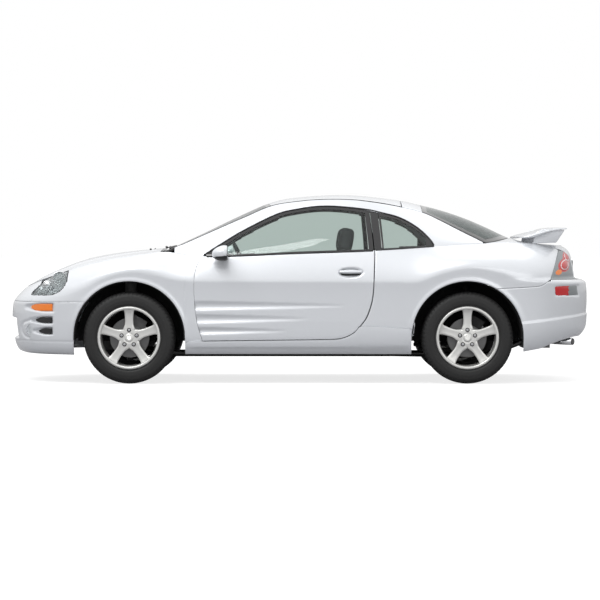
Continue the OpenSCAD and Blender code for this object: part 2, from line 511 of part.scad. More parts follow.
module rim() {
    spun([[rim_r - 9, -half_w + 4], [rim_r + 20, -half_w + 3], [rim_r + 20, -half_w + 9],
        [rim_r, -half_w + 11], [rim_r, half_w - 11], [rim_r + 20, half_w - 9],
        [rim_r + 20, half_w - 3], [rim_r - 9, half_w - 4]]);
    for (k = [0 : 4]) rotate([0, k * 72, 0]) translate([0, -face_y, 0]) spoke();
    spun([[0, face_y - 4], [77, face_y - 4], [66, face_y + 30], [34, face_y + 34], [0, face_y + 34]]);
}
module brake_disc() spun([[0, -8], [disc_d / 2, -8], [disc_d / 2, 12], [82, 12], [82, face_y + 6],
    [0, face_y + 6]]);
module wheel() color([0.76, 0.76, 0.77]) difference() {
    union() {
        rim();
        brake_disc();
    }
    translate([0, 20, 0]) rotate([90, 0, 0]) cylinder(r = spindle_r + bearing_gap, h = face_y + 32);
    for (k = [0 : 4]) rotate([0, k * 72, 0]) translate([0, -face_y - 36, 57.15])
        rotate([-90, 0, 0]) cylinder(r = 9, h = 15);
}
module at_wheel(x, left) translate([x, left ? -track / 2 : track / 2, hub_z])
    mirror([0, left ? 0 : 1, 0]) children();
module tyre_front_left() at_wheel(front_x, true) tyre();
module tyre_front_right() at_wheel(front_x, false) tyre();
module tyre_rear_left() at_wheel(rear_x, true) tyre();
module tyre_rear_right() at_wheel(rear_x, false) tyre();
module wheel_front_left() at_wheel(front_x, true) wheel();
module wheel_front_right() at_wheel(front_x, false) wheel();
module wheel_rear_left() at_wheel(rear_x, true) wheel();
module wheel_rear_right() at_wheel(rear_x, false) wheel();

// ---- Steered knuckles: the kingpin leans in from the lower ball joint to the strut's top. ----
pin_low = [front_x, -672, 205];
pin_v = [0, 137, 645];
pin_lean = atan2(137, 645);
module on_kingpin(along) translate(pin_low + pin_v * along / norm(pin_v)) rotate([-pin_lean, 0, 0])
    children();
module spindle() translate([0, 64, 0]) rotate([90, 0, 0]) cylinder(r = spindle_r, h = 64 + face_y + 8);
module knuckle() color([0.35, 0.35, 0.36]) {
    union() {
        translate([front_x, -track / 2, hub_z]) {
            spindle();
            translate([-38, 32, -105]) cube([76, 60, 215]);
            caliper();
        }
        on_kingpin(-6) cylinder(r = 14, h = 60);
        on_kingpin(180) cylinder(r = 27, h = 290);
        on_kingpin(460) cylinder(r = 44, h = 160);
        on_kingpin(610) cylinder(r = 10, h = 60);
    }
}
module caliper() rotate([0, -60, 0]) difference() {
    translate([disc_d / 2 - 48, -24, -55]) cube([66, 62, 110]);
    translate([disc_d / 2 - 60, -17, -60]) cube([66, 34, 120]);
}
module knuckle_left() knuckle();
module knuckle_right() mirror([0, 1, 0]) knuckle();

module tube(a, b, r) translate(a) rotate([0, acos((b - a)[2] / norm(b - a)),
    atan2((b - a)[1], (b - a)[0])]) cylinder(r = r, h = norm(b - a));
module front_suspension() color([0.1, 0.1, 0.1]) union() {
    translate([front_x - 60, -380, 190]) cube([240, 760, 40]);
    both() {
        tube([front_x, -668, 182], [front_x + 20, -370, 208], 11);
        tube([front_x, -668, 182], [front_x + 150, -370, 208], 11);
        on_kingpin(-40) cylinder(r = 24, h = 34 - pin_gap);
    }
}
module rear_suspension() color([0.1, 0.1, 0.1]) union() {
    translate([rear_x - 40, -420, 215]) cube([150, 840, 50]);
    both() translate([rear_x + 60, -350, 260]) cylinder(r = 20, h = 144.6);
    both() translate([rear_x, 0, 0]) {
        translate([0, -track / 2, hub_z]) {
            spindle();
            translate([-38, 32, -105]) cube([76, 50, 215]);
            caliper();
        }
        tube([0, -690, 250], [30, -400, 240], 14);
        tube([0, -680, 400], [60, -400, 250], 12);
        tube([0, -690, 240], [-330, -520, 240], 16);
        tube([0, -650, 410], [0, -540, 700], 20);
        tube([0, -587, 565], [0, -552, 660], 34);
    }
}

// ---- Underbody ----
rail_y = 439.5;
module floor_pan() color([0.14, 0.14, 0.15]) union() {
    floor_w = 699.5 * wide_k;
    bulkhead = real_x(-822);
    translate([bulkhead, -floor_w, 218]) cube([real_x(700) - bulkhead, 2 * floor_w, 14]);
    translate([bulkhead, -130, 231]) cube([real_x(495) - bulkhead, 260, 90]);
    translate([bulkhead, -floor_w + 10, 218]) cube([12, 2 * floor_w - 20, 690 * tall_k]);
    translate([real_x(-945), -600, 900 * tall_k]) cube([bulkhead - real_x(-945) + 5, 1200, 8]);
    translate([real_x(690), -rail_y, 218]) cube([12, 2 * rail_y, 200]);
    translate([real_x(690), -rail_y, 405]) cube([real_x(1976) - real_x(690), 2 * rail_y, 14]);
    translate([real_x(1975), -rail_y, 330]) cube([16, 2 * rail_y, 730 * tall_k - 330]);
    translate([real_x(1976), -30, 690 * tall_k]) cube([58, 60, 55 * tall_k - 0.3]);
    translate([real_x(-1990), -rail_y, 300]) cube([60, 2 * rail_y, 90]);
    both() {
        translate([real_x(-1960), -rail_y, 320]) cube([bulkhead + 5 - real_x(-1960), 80, 100]);
        translate([real_x(-1770), -400, 400]) cylinder(r = 12, h = stop_z * tall_k - 400.3);
        translate([front_x - 70, -rail_y, 400]) cube([140, 24, 445 * tall_k]);
        strut_tower();
        translate([real_x(-700), -floor_w, 231]) cube([90, 20, 600]);
        hinge_posts();
        jack_pad(real_x(-640));
        jack_pad(real_x(600));
    }
    tow_eye(real_x(-1920), 270);
    tow_eye(real_x(1900), 330);
}
// Plate with a hole of 28 mm for a tow hook or tie-down.
module tow_eye(x, z) translate([x, -384, z]) rotate([90, 0, 0]) difference() {
    translate([-35, -32, 0]) cube([70, 112, 12]);
    translate([0, 0, -1]) cylinder(r = 14, h = 14);
}
module strut_tower() difference() {
    translate([front_x - 90, -620, 838 * tall_k]) cube([180, 200, 10]);
    on_kingpin(580) cylinder(r = 10 + pin_gap, h = 100);
}
module hinge_posts() for (z = HINGES) translate([real_x(hinge_x), -hinge_y * wide_k, z * tall_k]) {
    translate([0, 0, -30]) cylinder(r = 6, h = 60);
    for (s = [-1, 1]) translate([-8, -8, s * 24 - 7]) cube([16, 150, 14]);
}
module jack_pad(x) translate([x, -650, 198]) cube([80, 50, 21]);

module engine_block() color([0.3, 0.3, 0.31])
    translate([front_x - 330, -300, 230.3]) cube([360, 640, 500]);

module exhaust() color([0.45, 0.45, 0.46]) union() {
    tube([front_x + 200, 60, 191.6], [real_x(690), 60, 191.6], 26);
    tube([real_x(670), 60, 191.4], [real_x(1000), 62, 186], 25);
    tube([real_x(980), 70, 187], [real_x(1400), -300, 186], 24);
    tube([real_x(1380), -285, 184], [real_x(1670), -340, 300], 22.5);
    translate([real_x(1645), -500, 250]) cube([200, 320, 120]);
    tube([real_x(1830), -440, 300], [real_x(2012), -550, 298], 22);
}

// ---- Arch liners ----
module half_ring(x, depth) translate([x, -840 * wide_k, arch_mid_z]) rotate([-90, 0, 0]) difference() {
    cylinder(r = arch_r - 3, h = depth, $fn = 72);
    translate([0, 0, -1]) cylinder(r = arch_r - 8, h = depth + 2, $fn = 72);
    translate([-500, 20, -2]) cube([1000, 500, depth + 4]);
}
module inner_wall(x) translate([x, -446, arch_mid_z]) rotate([-90, 0, 0]) difference() {
    cylinder(r = arch_r - 5, h = 6, $fn = 72);
    translate([-500, 40, -2]) cube([1000, 500, 10]);
}
// The front liner ends ahead of the strut, and the rear one runs in to the wall of the wheel house.
module arch_liners() color([0.06, 0.06, 0.06]) both() {
    half_ring(front_x, 200);
    inner_wall(front_x);
    half_ring(rear_x, 840 * wide_k - 440);
    inner_wall(rear_x);
}

// ---- Cabin furniture ----
module seat(w) {
    hull() {
        translate([0, 0, 300]) cube([430, w, 60], center = true);
        translate([-10, 0, 400]) cube([470, w - 40, 100], center = true);
    }
    hull() {
        translate([190, 0, 400]) cube([80, w - 20, 60], center = true);
        translate([360, 0, 890]) cube([70, w - 120, 60], center = true);
    }
    hull() {
        translate([374, 0, 960]) cube([60, 230, 40], center = true);
        translate([392, 0, 1060]) cube([50, 190, 40], center = true);
    }
    translate([368, 0, 930]) cube([20, 140, 80], center = true);
    translate([0, 0, 251.3]) cube([380, w - 120, 38], center = true);
}
module front_seats() color([0.2, 0.2, 0.21]) both()
    translate([real_x(-80), -370 * wide_k, 0]) join() seat(470);
module rear_seat() color([0.2, 0.2, 0.21]) join() {
    translate([real_x(500), -480 * wide_k, 232.4]) cube([185, 960 * wide_k, 226]);
    translate([real_x(690) - 30, -435, 457]) rotate([0, 22, 0]) cube([90, 870, 430]);
}
module dashboard() color([0.1, 0.1, 0.11]) join() difference() {
    hull() {
        translate([real_x(-822) + 12.3, -640, 720]) cube([60, 1280, 200]);
        translate([real_x(-500), -640, 700]) cube([20, 1280, 130]);
    }
    on_column() translate([0, 0, -300]) cylinder(r = 26 + pin_gap, h = 300);
}
module on_column() translate([real_x(-400), -370, 850]) rotate([0, 64, 0]) children();
module steering_wheel() color([0.12, 0.12, 0.12]) on_column() union() {
    rotate_extrude($fn = 60) translate([178, 0]) circle(r = 14, $fn = 24);
    translate([0, 0, -22]) cylinder(r = 62, h = 40);
    for (a = [0, 120, 240]) rotate([0, 0, a + 60]) translate([40, -16, -8]) cube([130, 32, 14]);
    translate([0, 0, -150]) cylinder(r = 26, h = 140);
}

floor_pan();
front_bumper();
rear_bumper();
nose_panel();
hood();
fender_left();
fender_right();
body_side_left();
body_side_right();
roof_panel();
windscreen();
door_left();
door_right();
door_glass_left();
door_glass_right();
quarter_glass();
mirror_left();
mirror_right();
hatch();
rear_glass();
spoiler();
headlamp_left();
headlamp_right();
tail_lamp_left();
tail_lamp_right();
cowl_panel();
tyre_front_left();
tyre_front_right();
tyre_rear_left();
tyre_rear_right();
wheel_front_left();
wheel_front_right();
wheel_rear_left();
wheel_rear_right();
knuckle_left();
knuckle_right();
front_suspension();
rear_suspension();
engine_block();
exhaust();
front_seats();
rear_seat();
dashboard();
steering_wheel();
arch_liners();
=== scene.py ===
# %% [markdown]
# # Two-door coupe
# The car is built panel by panel from one smooth body surface. The nose points to -X, the left
# side to -Y, and everything is in metres. Each panel has real thickness, rolled edges and an open
# gap to its neighbour, and rides on the body of the frame that carries it.

# %% set-up
import bpy, json, math
import numpy as np
from mathutils import Vector, Matrix

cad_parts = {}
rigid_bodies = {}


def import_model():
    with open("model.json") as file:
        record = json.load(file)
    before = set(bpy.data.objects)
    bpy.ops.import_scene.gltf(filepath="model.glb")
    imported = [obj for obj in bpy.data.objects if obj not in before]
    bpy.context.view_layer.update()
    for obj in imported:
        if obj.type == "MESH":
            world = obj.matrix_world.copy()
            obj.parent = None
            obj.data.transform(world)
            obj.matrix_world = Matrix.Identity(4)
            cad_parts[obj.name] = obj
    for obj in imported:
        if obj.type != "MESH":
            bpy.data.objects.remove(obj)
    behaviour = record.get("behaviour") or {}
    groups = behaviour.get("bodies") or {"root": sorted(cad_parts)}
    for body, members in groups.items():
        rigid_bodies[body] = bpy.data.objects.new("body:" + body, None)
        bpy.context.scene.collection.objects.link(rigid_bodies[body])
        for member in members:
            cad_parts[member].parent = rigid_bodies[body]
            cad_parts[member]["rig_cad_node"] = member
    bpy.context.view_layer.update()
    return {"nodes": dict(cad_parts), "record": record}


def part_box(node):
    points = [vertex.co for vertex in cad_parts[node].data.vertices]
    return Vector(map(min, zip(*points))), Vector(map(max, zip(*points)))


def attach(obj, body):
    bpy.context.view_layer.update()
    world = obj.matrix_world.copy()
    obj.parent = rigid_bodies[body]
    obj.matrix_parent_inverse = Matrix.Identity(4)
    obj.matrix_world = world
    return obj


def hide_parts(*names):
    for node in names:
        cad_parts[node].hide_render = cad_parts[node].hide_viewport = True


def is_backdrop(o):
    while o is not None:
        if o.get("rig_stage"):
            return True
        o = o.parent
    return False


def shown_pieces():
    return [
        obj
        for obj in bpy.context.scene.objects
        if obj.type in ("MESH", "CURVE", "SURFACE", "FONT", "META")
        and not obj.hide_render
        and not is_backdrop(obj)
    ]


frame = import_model()
record = frame["record"]
MM = 0.001
FX, RX, HUB = -1.230, 1.220, 0.334          # axles and wheel centre height
BOXES = {n: [list(v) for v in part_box(n)] for n in sorted(frame["nodes"])}
print("nodes", len(BOXES), "mirror box", BOXES["mirror_left"])

# %% [markdown]
# ## Control curves
# These are the same lines that a body engineer would call the character lines: the middle line of
# the hood and cabin, the widest line, the belt, the roof rail, and the plan curves of nose and tail.

# %% curves
def curve(*pts):
    return np.array(pts, float).reshape(-1, 2)

HOOD_LINE = curve(-2150, 540, -2120, 615, -2041, 694, -1980, 733, -1920, 769, -1860, 798, -1740, 850,
    -1619, 894, -1498, 923, -1380, 944, -1257, 960, -1137, 972, -1010, 984)
CABIN_LINE = curve(-960, 978, -907, 1003, -715, 1093, -474, 1210, -294, 1292, -233, 1316, -113, 1349,
    7, 1364, 188, 1378, 369, 1380, 550, 1366, 790, 1334, 911, 1305, 1031, 1276, 1152, 1239,
    1272, 1195, 1393, 1143, 1513, 1086, 1573, 1060)
DECK_LINE = curve(1364, 1035, 1439, 1045, 1573, 1060, 1640, 1040, 1750, 1020, 1965, 1003)
HOOD_DROP = curve(-2041, 0, -1971, 14, -1860, 32, -1740, 45, -1500, 45, -1300, 40, -1000, 26)
WIDE = curve(-2150, 850, -1500, 860, -1230, 868, -900, 852, -600, 848, 0, 850, 600, 856, 900, 864,
    1220, 870, 1500, 866, 2150, 850)
CREST = curve(-2150, 600, -1700, 640, -1560, 692, -1400, 765, -1210, 806, -1050, 785, -897, 750,
    -700, 741, 0, 739, 700, 737, 870, 740, 1044, 799, 1246, 834, 1449, 802, 1601, 753, 1750, 742,
    2150, 738)
EDGE_Y = curve(-2150, 673, -1300, 673, -1000, 690, -868, 735, -695, 790, -300, 796, 0, 797, 545, 790,
    800, 768, 978, 738, 1178, 678, 1364, 610, 1500, 618, 1700, 625, 2150, 600)
EDGE_Z = curve(-2150, 850, -1740, 880, -1619, 895, -1500, 893, -1400, 904, -1300, 917, -1000, 958,
    -868, 947, -695, 924, 0, 949, 545, 968, 978, 995, 1178, 1008, 1364, 1020, 1500, 1026, 1640, 1020,
    1800, 1008, 2150, 990)
RAIL_Y = curve(-985, 700, -865, 690, -600, 640, -400, 600, -205, 562, 0, 565, 150, 575, 500, 572,
    737, 545, 916, 540, 1033, 548, 1178, 565, 1364, 600, 1573, 620)
RAIL_Z = curve(-985, 956, -865, 1005, -600, 1122, -400, 1210, -205, 1293, -50, 1322, 150, 1340,
    370, 1340, 550, 1322, 737, 1289, 916, 1243, 1033, 1189, 1178, 1114, 1364, 1020, 1439, 975,
    1573, 915)
WINDOW_Z = curve(-697, 926, -560, 1015, -412, 1105, -153, 1232, 0, 1268, 153, 1287, 300, 1284,
    503, 1262, 590, 1243, 736, 1203, 860, 1133, 950, 1050, 984, 999)
NOSE_X = curve(205, -2040, 225, -2095, 300, -2130, 400, -2147, 468, -2150, 560, -2144, 592, -2135,
    637, -2101, 694, -2041, 733, -1980, 769, -1920, 798, -1860, 828, -1800, 850, -1740, 872, -1679,
    894, -1619, 909, -1559, 930, -1460)
TAIL_X = curve(215, 1930, 255, 1990, 336, 2086, 398, 2131, 480, 2142, 600, 2150, 730, 2142, 745, 2125,
    757, 2095, 765, 2062, 800, 2052, 870, 2042, 923, 2030, 960, 2015, 985, 1990, 1000, 1960)
TUCK = curve(0, 0, 60, 5, 150, 9, 300, 12, 600, 14)
SILL_TUCK = curve(205, 60, 240, 34, 270, 20, 310, 10, 360, 4, 450, 0)
SHOULDER = curve(-1100, 2.6, -750, 1.4, 800, 1.4, 1100, 1.9, 1400, 2.4)
DOOR_FRONT = curve(300, -694, 450, -738, 600, -755, 760, -757, 860, -735, 924, -695)
DOOR_REAR = curve(420, 440, 472, 480, 560, 515, 649, 533, 800, 541, 966, 545, 1262, 512)
SKIRT_Z = curve(-823, 304, -697, 312, 231, 325, 330, 332, 430, 355, 500, 385, 545, 420, 815, 400)
LAMP_LOW = curve(-1975, 640, -1850, 641, -1793, 645, -1732, 676, -1700, 715, -1688, 745)
BUMPER_TOP = curve(1380, 686, 1700, 703, 1760, 712, 1800, 738, 1824, 757)
REAR_BASE = curve(1600, 238, 1800, 262, 1860, 285, 2030, 334, 2150, 340)

def sp(K, x):
    """Smooth curve through the points of K, at x."""
    x = np.asarray(x, float)
    X, Y = K[:, 0], K[:, 1]
    m = np.empty(len(X))
    m[1:-1] = (Y[2:] - Y[:-2]) / (X[2:] - X[:-2])
    m[0], m[-1] = (Y[1] - Y[0]) / (X[1] - X[0]), (Y[-1] - Y[-2]) / (X[-1] - X[-2])
    xc = np.clip(x, X[0], X[-1])
    i = np.clip(np.searchsorted(X, xc, "right") - 1, 0, len(X) - 2)
    h = X[i + 1] - X[i]
    t = (xc - X[i]) / h
    return (Y[i] * (1 + 2 * t) * (1 - t) ** 2 + m[i] * h * t * (1 - t) ** 2
        + Y[i + 1] * t * t * (3 - 2 * t) + m[i + 1] * h * t * t * (t - 1))

def mix(a, b, t):
    return a + (b - a) * t

def step(a, b, x):
    """0 below a, 1 above b, smooth between."""
    t = np.clip((np.asarray(x, float) - a) / (b - a), 0, 1)
    return t * t * (3 - 2 * t)

def hat(x, a, b, c):
    x = np.asarray(x, float)
    return np.where((x <= a) | (x >= c), 0, np.where(x < b, (x - a) / (b - a), (c - x) / (c - b)))

def corner(s, n):
    s = np.clip(s, 0, 1)
    return (1 - s ** n) ** (1 / n)

def below(x, z):
    return sp(WIDE, x) - sp(TUCK, sp(CREST, x) - z) - sp(SILL_TUCK, z)

def above(x, z):
    w, e, c = sp(WIDE, x), sp(EDGE_Y, x), sp(CREST, x)
    t = np.clip((z - c) / (sp(EDGE_Z, x) - c), 0, 1)
    return w - (w - e) * t ** sp(SHOULDER, x)

def cabin(x, z):
    e, r = sp(EDGE_Z, x), sp(RAIL_Z, x)
    t = np.clip((z - e) / np.maximum(r - e, 1), 0, 1.2)
    return mix(sp(EDGE_Y, x), sp(RAIL_Y, x), t ** 1.18)

def section(x, z):
    x, z = np.broadcast_arrays(np.asarray(x, float), np.asarray(z, float))
    low = z < sp(CREST, x)
    side = (z < sp(EDGE_Z, x)) | (x < -985) | (x > 1364)
    return np.where(low, below(x, z), np.where(side, above(x, z), cabin(x, z)))

def lip(x, z):
    """The rolled flare round each wheel arch: the side stands out a little close to the opening."""
    out = 0
    for hx in (FX * 1000, RX * 1000):
        r = np.hypot(x - hx, z - 340)
        out = out + 5.5 * np.exp(-((r - 411) / 17) ** 2) * (z > 250)
    return out

def half(x, z):
    return (section(x, z) * corner((-1300 - x) / (-1300 - sp(NOSE_X, z)), 2.3)
        * corner((x - 1400) / (sp(TAIL_X, z) - 1400), 2.8))

def hood_edge(x):
    return sp(HOOD_LINE, x) - sp(HOOD_DROP, x)

def top_z(x, y):
    z = sp(CABIN_LINE, x)
    return z - (z - sp(RAIL_Z, x)) * (np.abs(y) / sp(RAIL_Y, x)) ** 2.2

def deck_z(x, y):
    z = sp(DECK_LINE, x)
    return z - (z - sp(EDGE_Z, x)) * (np.abs(y) / sp(EDGE_Y, x)) ** 2

def bend(x, z):
    return (x + hat(x, -825, -697, -500) * (sp(DOOR_FRONT, z) + 697)
        + hat(x, 250, 545, 815) * (sp(DOOR_REAR, z) - 545))

def arch_z(x):
    d = np.minimum(np.abs(x - FX * 1000), np.abs(x - RX * 1000))
    return np.where(d >= 405, 0, 340 + np.sqrt(np.maximum(405 ** 2 - d * d, 0)))

def arch_x(z, side, hx):
    h = np.maximum(z - 340, 0)
    return hx + side * np.sqrt(np.maximum(405 ** 2 - h * h, 1))

print("roof height", float(top_z(369, 0)), "half width", float(half(0, 700)))

# %% [markdown]
# ## Panels
# A panel starts as a fine grid on the body surface. It gets its real thickness inwards, and its
# sharp rim is then rounded, because pressed sheet is hemmed over at the edge and catches the light.

# %% panel maker
def mesh_object(name, verts, faces, body, mat, smooth=True):
    me = bpy.data.meshes.new(name)
    me.from_pydata([tuple(v) for v in verts], [], faces)
    me.update()
    if smooth:
        me.polygons.foreach_set("use_smooth", [True] * len(me.polygons))
    ob = bpy.data.objects.new(name, me)
    bpy.context.scene.collection.objects.link(ob)
    for m in (mat if isinstance(mat, (list, tuple)) else [mat]):
        me.materials.append(m)
    if body:
        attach(ob, body)
    return ob

def normals(G):
    du = np.gradient(G, axis=0)
    dv = np.gradient(G, axis=1)
    n = np.cross(du, dv)
    return n / np.maximum(np.linalg.norm(n, axis=2, keepdims=True), 1e-9)

def mirrored(G):
    return (G * [1, -1, 1])[::-1]

def panel(name, G, t, body, mat, edge=1.6, keep=None, slot="paint"):
    """Grid G (mm, seen from outside: first index right, second up) to a closed sheet of thickness t,
    which may be a grid of thicknesses too.
    keep(i, j) says which cells stay, and the last rows near the rim are rounded by edge mm."""
    nu, nv = G.shape[:2]
    N = normals(G)
    outer, inner = G.copy(), G - N * t
    if edge:
        for k, drop in ((0, 1.0), (1, 0.28)):
            for sl in ((k, slice(None)), (nu - 1 - k, slice(None)), (slice(None), k), (slice(None), nv - 1 - k)):
                outer[sl] = G[sl] - N[sl] * edge * drop
    V = np.concatenate([outer.reshape(-1, 3), inner.reshape(-1, 3)]) * MM
    n = nu * nv
    on = np.ones((nu - 1, nv - 1), bool) if keep is None else keep
    F = []
    a = lambda i, j: i * nv + j
    for i in range(nu - 1):
        for j in range(nv - 1):
            if not on[i, j]:
                continue
            p, q, r, s = a(i, j), a(i + 1, j), a(i + 1, j + 1), a(i, j + 1)
            F += [(p, q, r, s), (n + p, n + s, n + r, n + q)]
            if j == 0 or not on[i, j - 1]: F.append((q, p, n + p, n + q))
            if j == nv - 2 or not on[i, j + 1]: F.append((s, r, n + r, n + s))
            if i == 0 or not on[i - 1, j]: F.append((p, s, n + s, n + p))
            if i == nu - 2 or not on[i + 1, j]: F.append((r, q, n + q, n + r))
    ob = mesh_object(name, V, F, body, mat)
    me = ob.data
    sharp = np.zeros(len(me.edges), bool)
    ev = np.empty(len(me.edges) * 2, int)
    me.edges.foreach_get("vertices", ev)
    ev = ev.reshape(-1, 2)
    sharp = (ev[:, 0] < n) != (ev[:, 1] < n)
    rim = set(ev[sharp].ravel().tolist())
    me.edges.foreach_set("use_edge_sharp", [(u in rim and v in rim) for u, v in ev.tolist()])
    return ob

def pair(name, G, *args, **kw):
    """The left piece and its mirror image. Bodies and nodes end in _left and _right."""
    t, body, mat = args[:3]
    rows = []
    for side, grid in (("left", G), ("right", mirrored(G))):
        k = kw.get("keep")
        kk = dict(kw)
        tt = t[::-1] if side == "right" and isinstance(t, np.ndarray) else t
        if k is not None and side == "right":
            kk["keep"] = k[::-1]
        rows.append(panel(f"{name}_{side}", grid, tt, body.format(side), mat, **kk))
    return rows

FINE = 0.67      # share of the steps asked for, which keeps the car under a million triangles
def side_grid(X, low, high, n, relief=None, flare=True):
    X = np.asarray(X, float)
    n = max(3, round(n * FINE))
    T = np.linspace(0, 1, n + 1)
    x = np.repeat(X[:, None], n + 1, 1)
    z = mix(low(X)[:, None], high(X)[:, None], T[None, :])
    bx = bend(x, z)
    y = half(bx, z) + (lip(bx, z) if flare else 0)
    if relief is not None:
        y = y + relief(bx, z)
    return np.stack([bx, -y, z], 2)

def edges(a, b, n, fine=3.0):
    """n steps from a to b, with two narrow ones at each end for the rounded rim."""
    s = 1 if b > a else -1
    n = max(6, round(n * FINE))
    return np.concatenate([[a, a + s * fine * 0.5], np.linspace(a + s * fine, b - s * fine, n - 3),
        [b - s * fine * 0.5, b]])

def rim_steps(n, f):
    n = max(8, round(n * FINE))
    return np.concatenate([[0, f * 0.5], np.linspace(f, 1 - f, n - 3), [1 - f * 0.5, 1]])

# %% [markdown]
# ## Materials
# Every finish is procedural. The paint is a silver base with fine flakes under a clear coat, with
# faint orange-peel ripple. Plastics get a grain, rubber a dusty bloom, metal a brushed or cast
# texture, and glass a thin green tint.

# %% materials
def material(name, color, rough=0.5, metal=0.0, coat=0.0, grain=None, bump=None, trans=0.0, ior=1.5,
        emit=None, vary=0.06, sheen=0.0, alpha=1.0):
    """grain = (scale, share) varies colour and roughness; bump = (scale, strength, distance)."""
    m = bpy.data.materials.new(name)
    m.use_nodes = True
    nt = m.node_tree
    b = nt.nodes["Principled BSDF"]
    b.inputs["Base Color"].default_value = (*color, 1)
    b.inputs["Roughness"].default_value = rough
    b.inputs["Metallic"].default_value = metal
    b.inputs["Coat Weight"].default_value = coat
    b.inputs["Coat Roughness"].default_value = 0.04
    b.inputs["Transmission Weight"].default_value = trans
    b.inputs["IOR"].default_value = ior
    b.inputs["Sheen Weight"].default_value = sheen
    b.inputs["Alpha"].default_value = alpha
    if emit:
        b.inputs["Emission Color"].default_value = (*color, 1)
        b.inputs["Emission Strength"].default_value = emit
    geo = nt.nodes.new("ShaderNodeTexCoord")
    def noise(scale, detail=4):
        n = nt.nodes.new("ShaderNodeTexNoise")
        n.inputs["Scale"].default_value = scale
        n.inputs["Detail"].default_value = detail
        nt.links.new(geo.outputs["Object"], n.inputs["Vector"])
        return n
    if grain:
        n = noise(grain[0])
        r = nt.nodes.new("ShaderNodeMapRange")
        r.inputs["To Min"].default_value = max(rough - grain[1], 0.01)
        r.inputs["To Max"].default_value = min(rough + grain[1], 1)
        nt.links.new(n.outputs["Fac"], r.inputs["Value"])
        nt.links.new(r.outputs["Result"], b.inputs["Roughness"])
        c = nt.nodes.new("ShaderNodeMix")
        c.data_type = "RGBA"
        c.inputs[6].default_value = (*[v * (1 - vary) for v in color], 1)
        c.inputs[7].default_value = (*[min(v * (1 + vary), 1) for v in color], 1)
        big = noise(grain[0] * 0.23)
        nt.links.new(big.outputs["Fac"], c.inputs[0])
        nt.links.new(c.outputs[2], b.inputs["Base Color"])
    if bump:
        n = noise(bump[0], 2)
        u = nt.nodes.new("ShaderNodeBump")
        u.inputs["Strength"].default_value = bump[1]
        u.inputs["Distance"].default_value = bump[2]
        nt.links.new(n.outputs["Fac"], u.inputs["Height"])
        nt.links.new(u.outputs["Normal"], b.inputs["Normal"])
    return m

PAINT = material("silver_paint", (0.68, 0.70, 0.73), 0.34, 0.35, 0.8, (900, 0.05), (1400, 0.02, 0.0004), vary=0.02)
BLACK = material("black_trim", (0.012, 0.012, 0.013), 0.42, 0, 0.0, (300, 0.12), (900, 0.25, 0.0006))
GLOSS = material("gloss_black", (0.006, 0.006, 0.007), 0.08, 0, 0.6, (60, 0.03))
LINER = material("liner_felt", (0.006, 0.006, 0.006), 0.9, 0, 0, (150, 0.05), (500, 0.5, 0.001))
RUBBER = material("tyre_rubber", (0.008, 0.008, 0.008), 0.62, 0, 0, (70, 0.12), (800, 0.2, 0.0006), vary=0.2)
ALLOY = material("alloy_lacquer", (0.66, 0.66, 0.64), 0.36, 0.5, 0.4, (40, 0.06), (1200, 0.03, 0.0003))
STEEL = material("steel", (0.16, 0.16, 0.16), 0.4, 1.0, 0, (90, 0.1), (400, 0.1, 0.0004))
CAST = material("cast_iron", (0.10, 0.10, 0.10), 0.62, 0.6, 0, (60, 0.15), (500, 0.4, 0.001), vary=0.25)
UNDER = material("underbody", (0.006, 0.006, 0.006), 0.75, 0, 0, (50, 0.15), (250, 0.4, 0.001), vary=0.2)
CHROME = material("chrome", (0.82, 0.83, 0.84), 0.07, 1.0, 0, (30, 0.02))
GLASS = material("window_glass", (0.80, 0.88, 0.85), 0.02, 0, 0, None, None, 1.0, 1.35)
SMOKE = material("smoked_glass", (0.30, 0.35, 0.34), 0.03, 0, 0, None, None, 1.0, 1.2)
SCREEN = material("screen_glass", (0.34, 0.39, 0.39), 0.05, 0, 0, None, None, 1.0, 1.12)
LENS = material("clear_lens", (0.90, 0.92, 0.92), 0.03, 0, 0, None, (120, 0.03, 0.0003), 1.0, 1.15)
LAMP_CUP = material("lamp_cup", (0.30, 0.32, 0.33), 0.34, 0.6, 0, (80, 0.08))
RED = material("red_lens", (0.50, 0.012, 0.015), 0.12, 0, 0.6, (300, 0.04), (260, 0.2, 0.0008), emit=0.03)
AMBER = material("amber_lens", (0.80, 0.20, 0.02), 0.15, 0, 0.6, (300, 0.04), (260, 0.2, 0.0008), emit=0.03)
SEAT = material("seat_cloth", (0.055, 0.055, 0.06), 0.85, 0, 0, (600, 0.08), (1500, 0.5, 0.0008), vary=0.3, sheen=0.3)
PANELC = material("cabin_plastic", (0.03, 0.03, 0.032), 0.6, 0, 0, (400, 0.1), (1100, 0.4, 0.0006))

CAD_FINISH = {"paint": PAINT, "glass": GLASS, "lamp_clear": LENS, "lamp_red": RED, "tyre": RUBBER,
    "alloy": ALLOY, "cast_iron": CAST, "black_steel": UNDER, "exhaust_steel": STEEL,
    "seat_fabric": SEAT, "black_plastic": PANELC}
for row in record["subparts"]:
    ob = frame["nodes"][row["node"]]
    ob.data.materials.clear()
    ob.data.materials.append(CAD_FINISH[row["material_slot"]])
frame["nodes"]["arch_liners"].data.materials[0] = LINER
print("materials", len(bpy.data.materials))

# %% [markdown]
# ## Front bumper and nose
# A moulded cover wraps the whole front. Three slots taper forward from the wheel arch: the amber
# lamp sits in the top one and black vents fill the two below. Each slot is pressed into the cover,
# and a lower lip line runs round it.

# %% front
def nose_row(s, z, end_x):
    nx = sp(NOSE_X, z)
    ln = -1300 - nx
    end = np.arccos(np.clip((-1300 - end_x) / ln, 0, 1) ** (2.3 / 2))
    f = np.abs(s) * end
    x = -1300 - ln * np.cos(f) ** (2 / 2.3)
    return x, np.sign(s) * section(x, z) * np.sin(f) ** (2 / 2.3), z

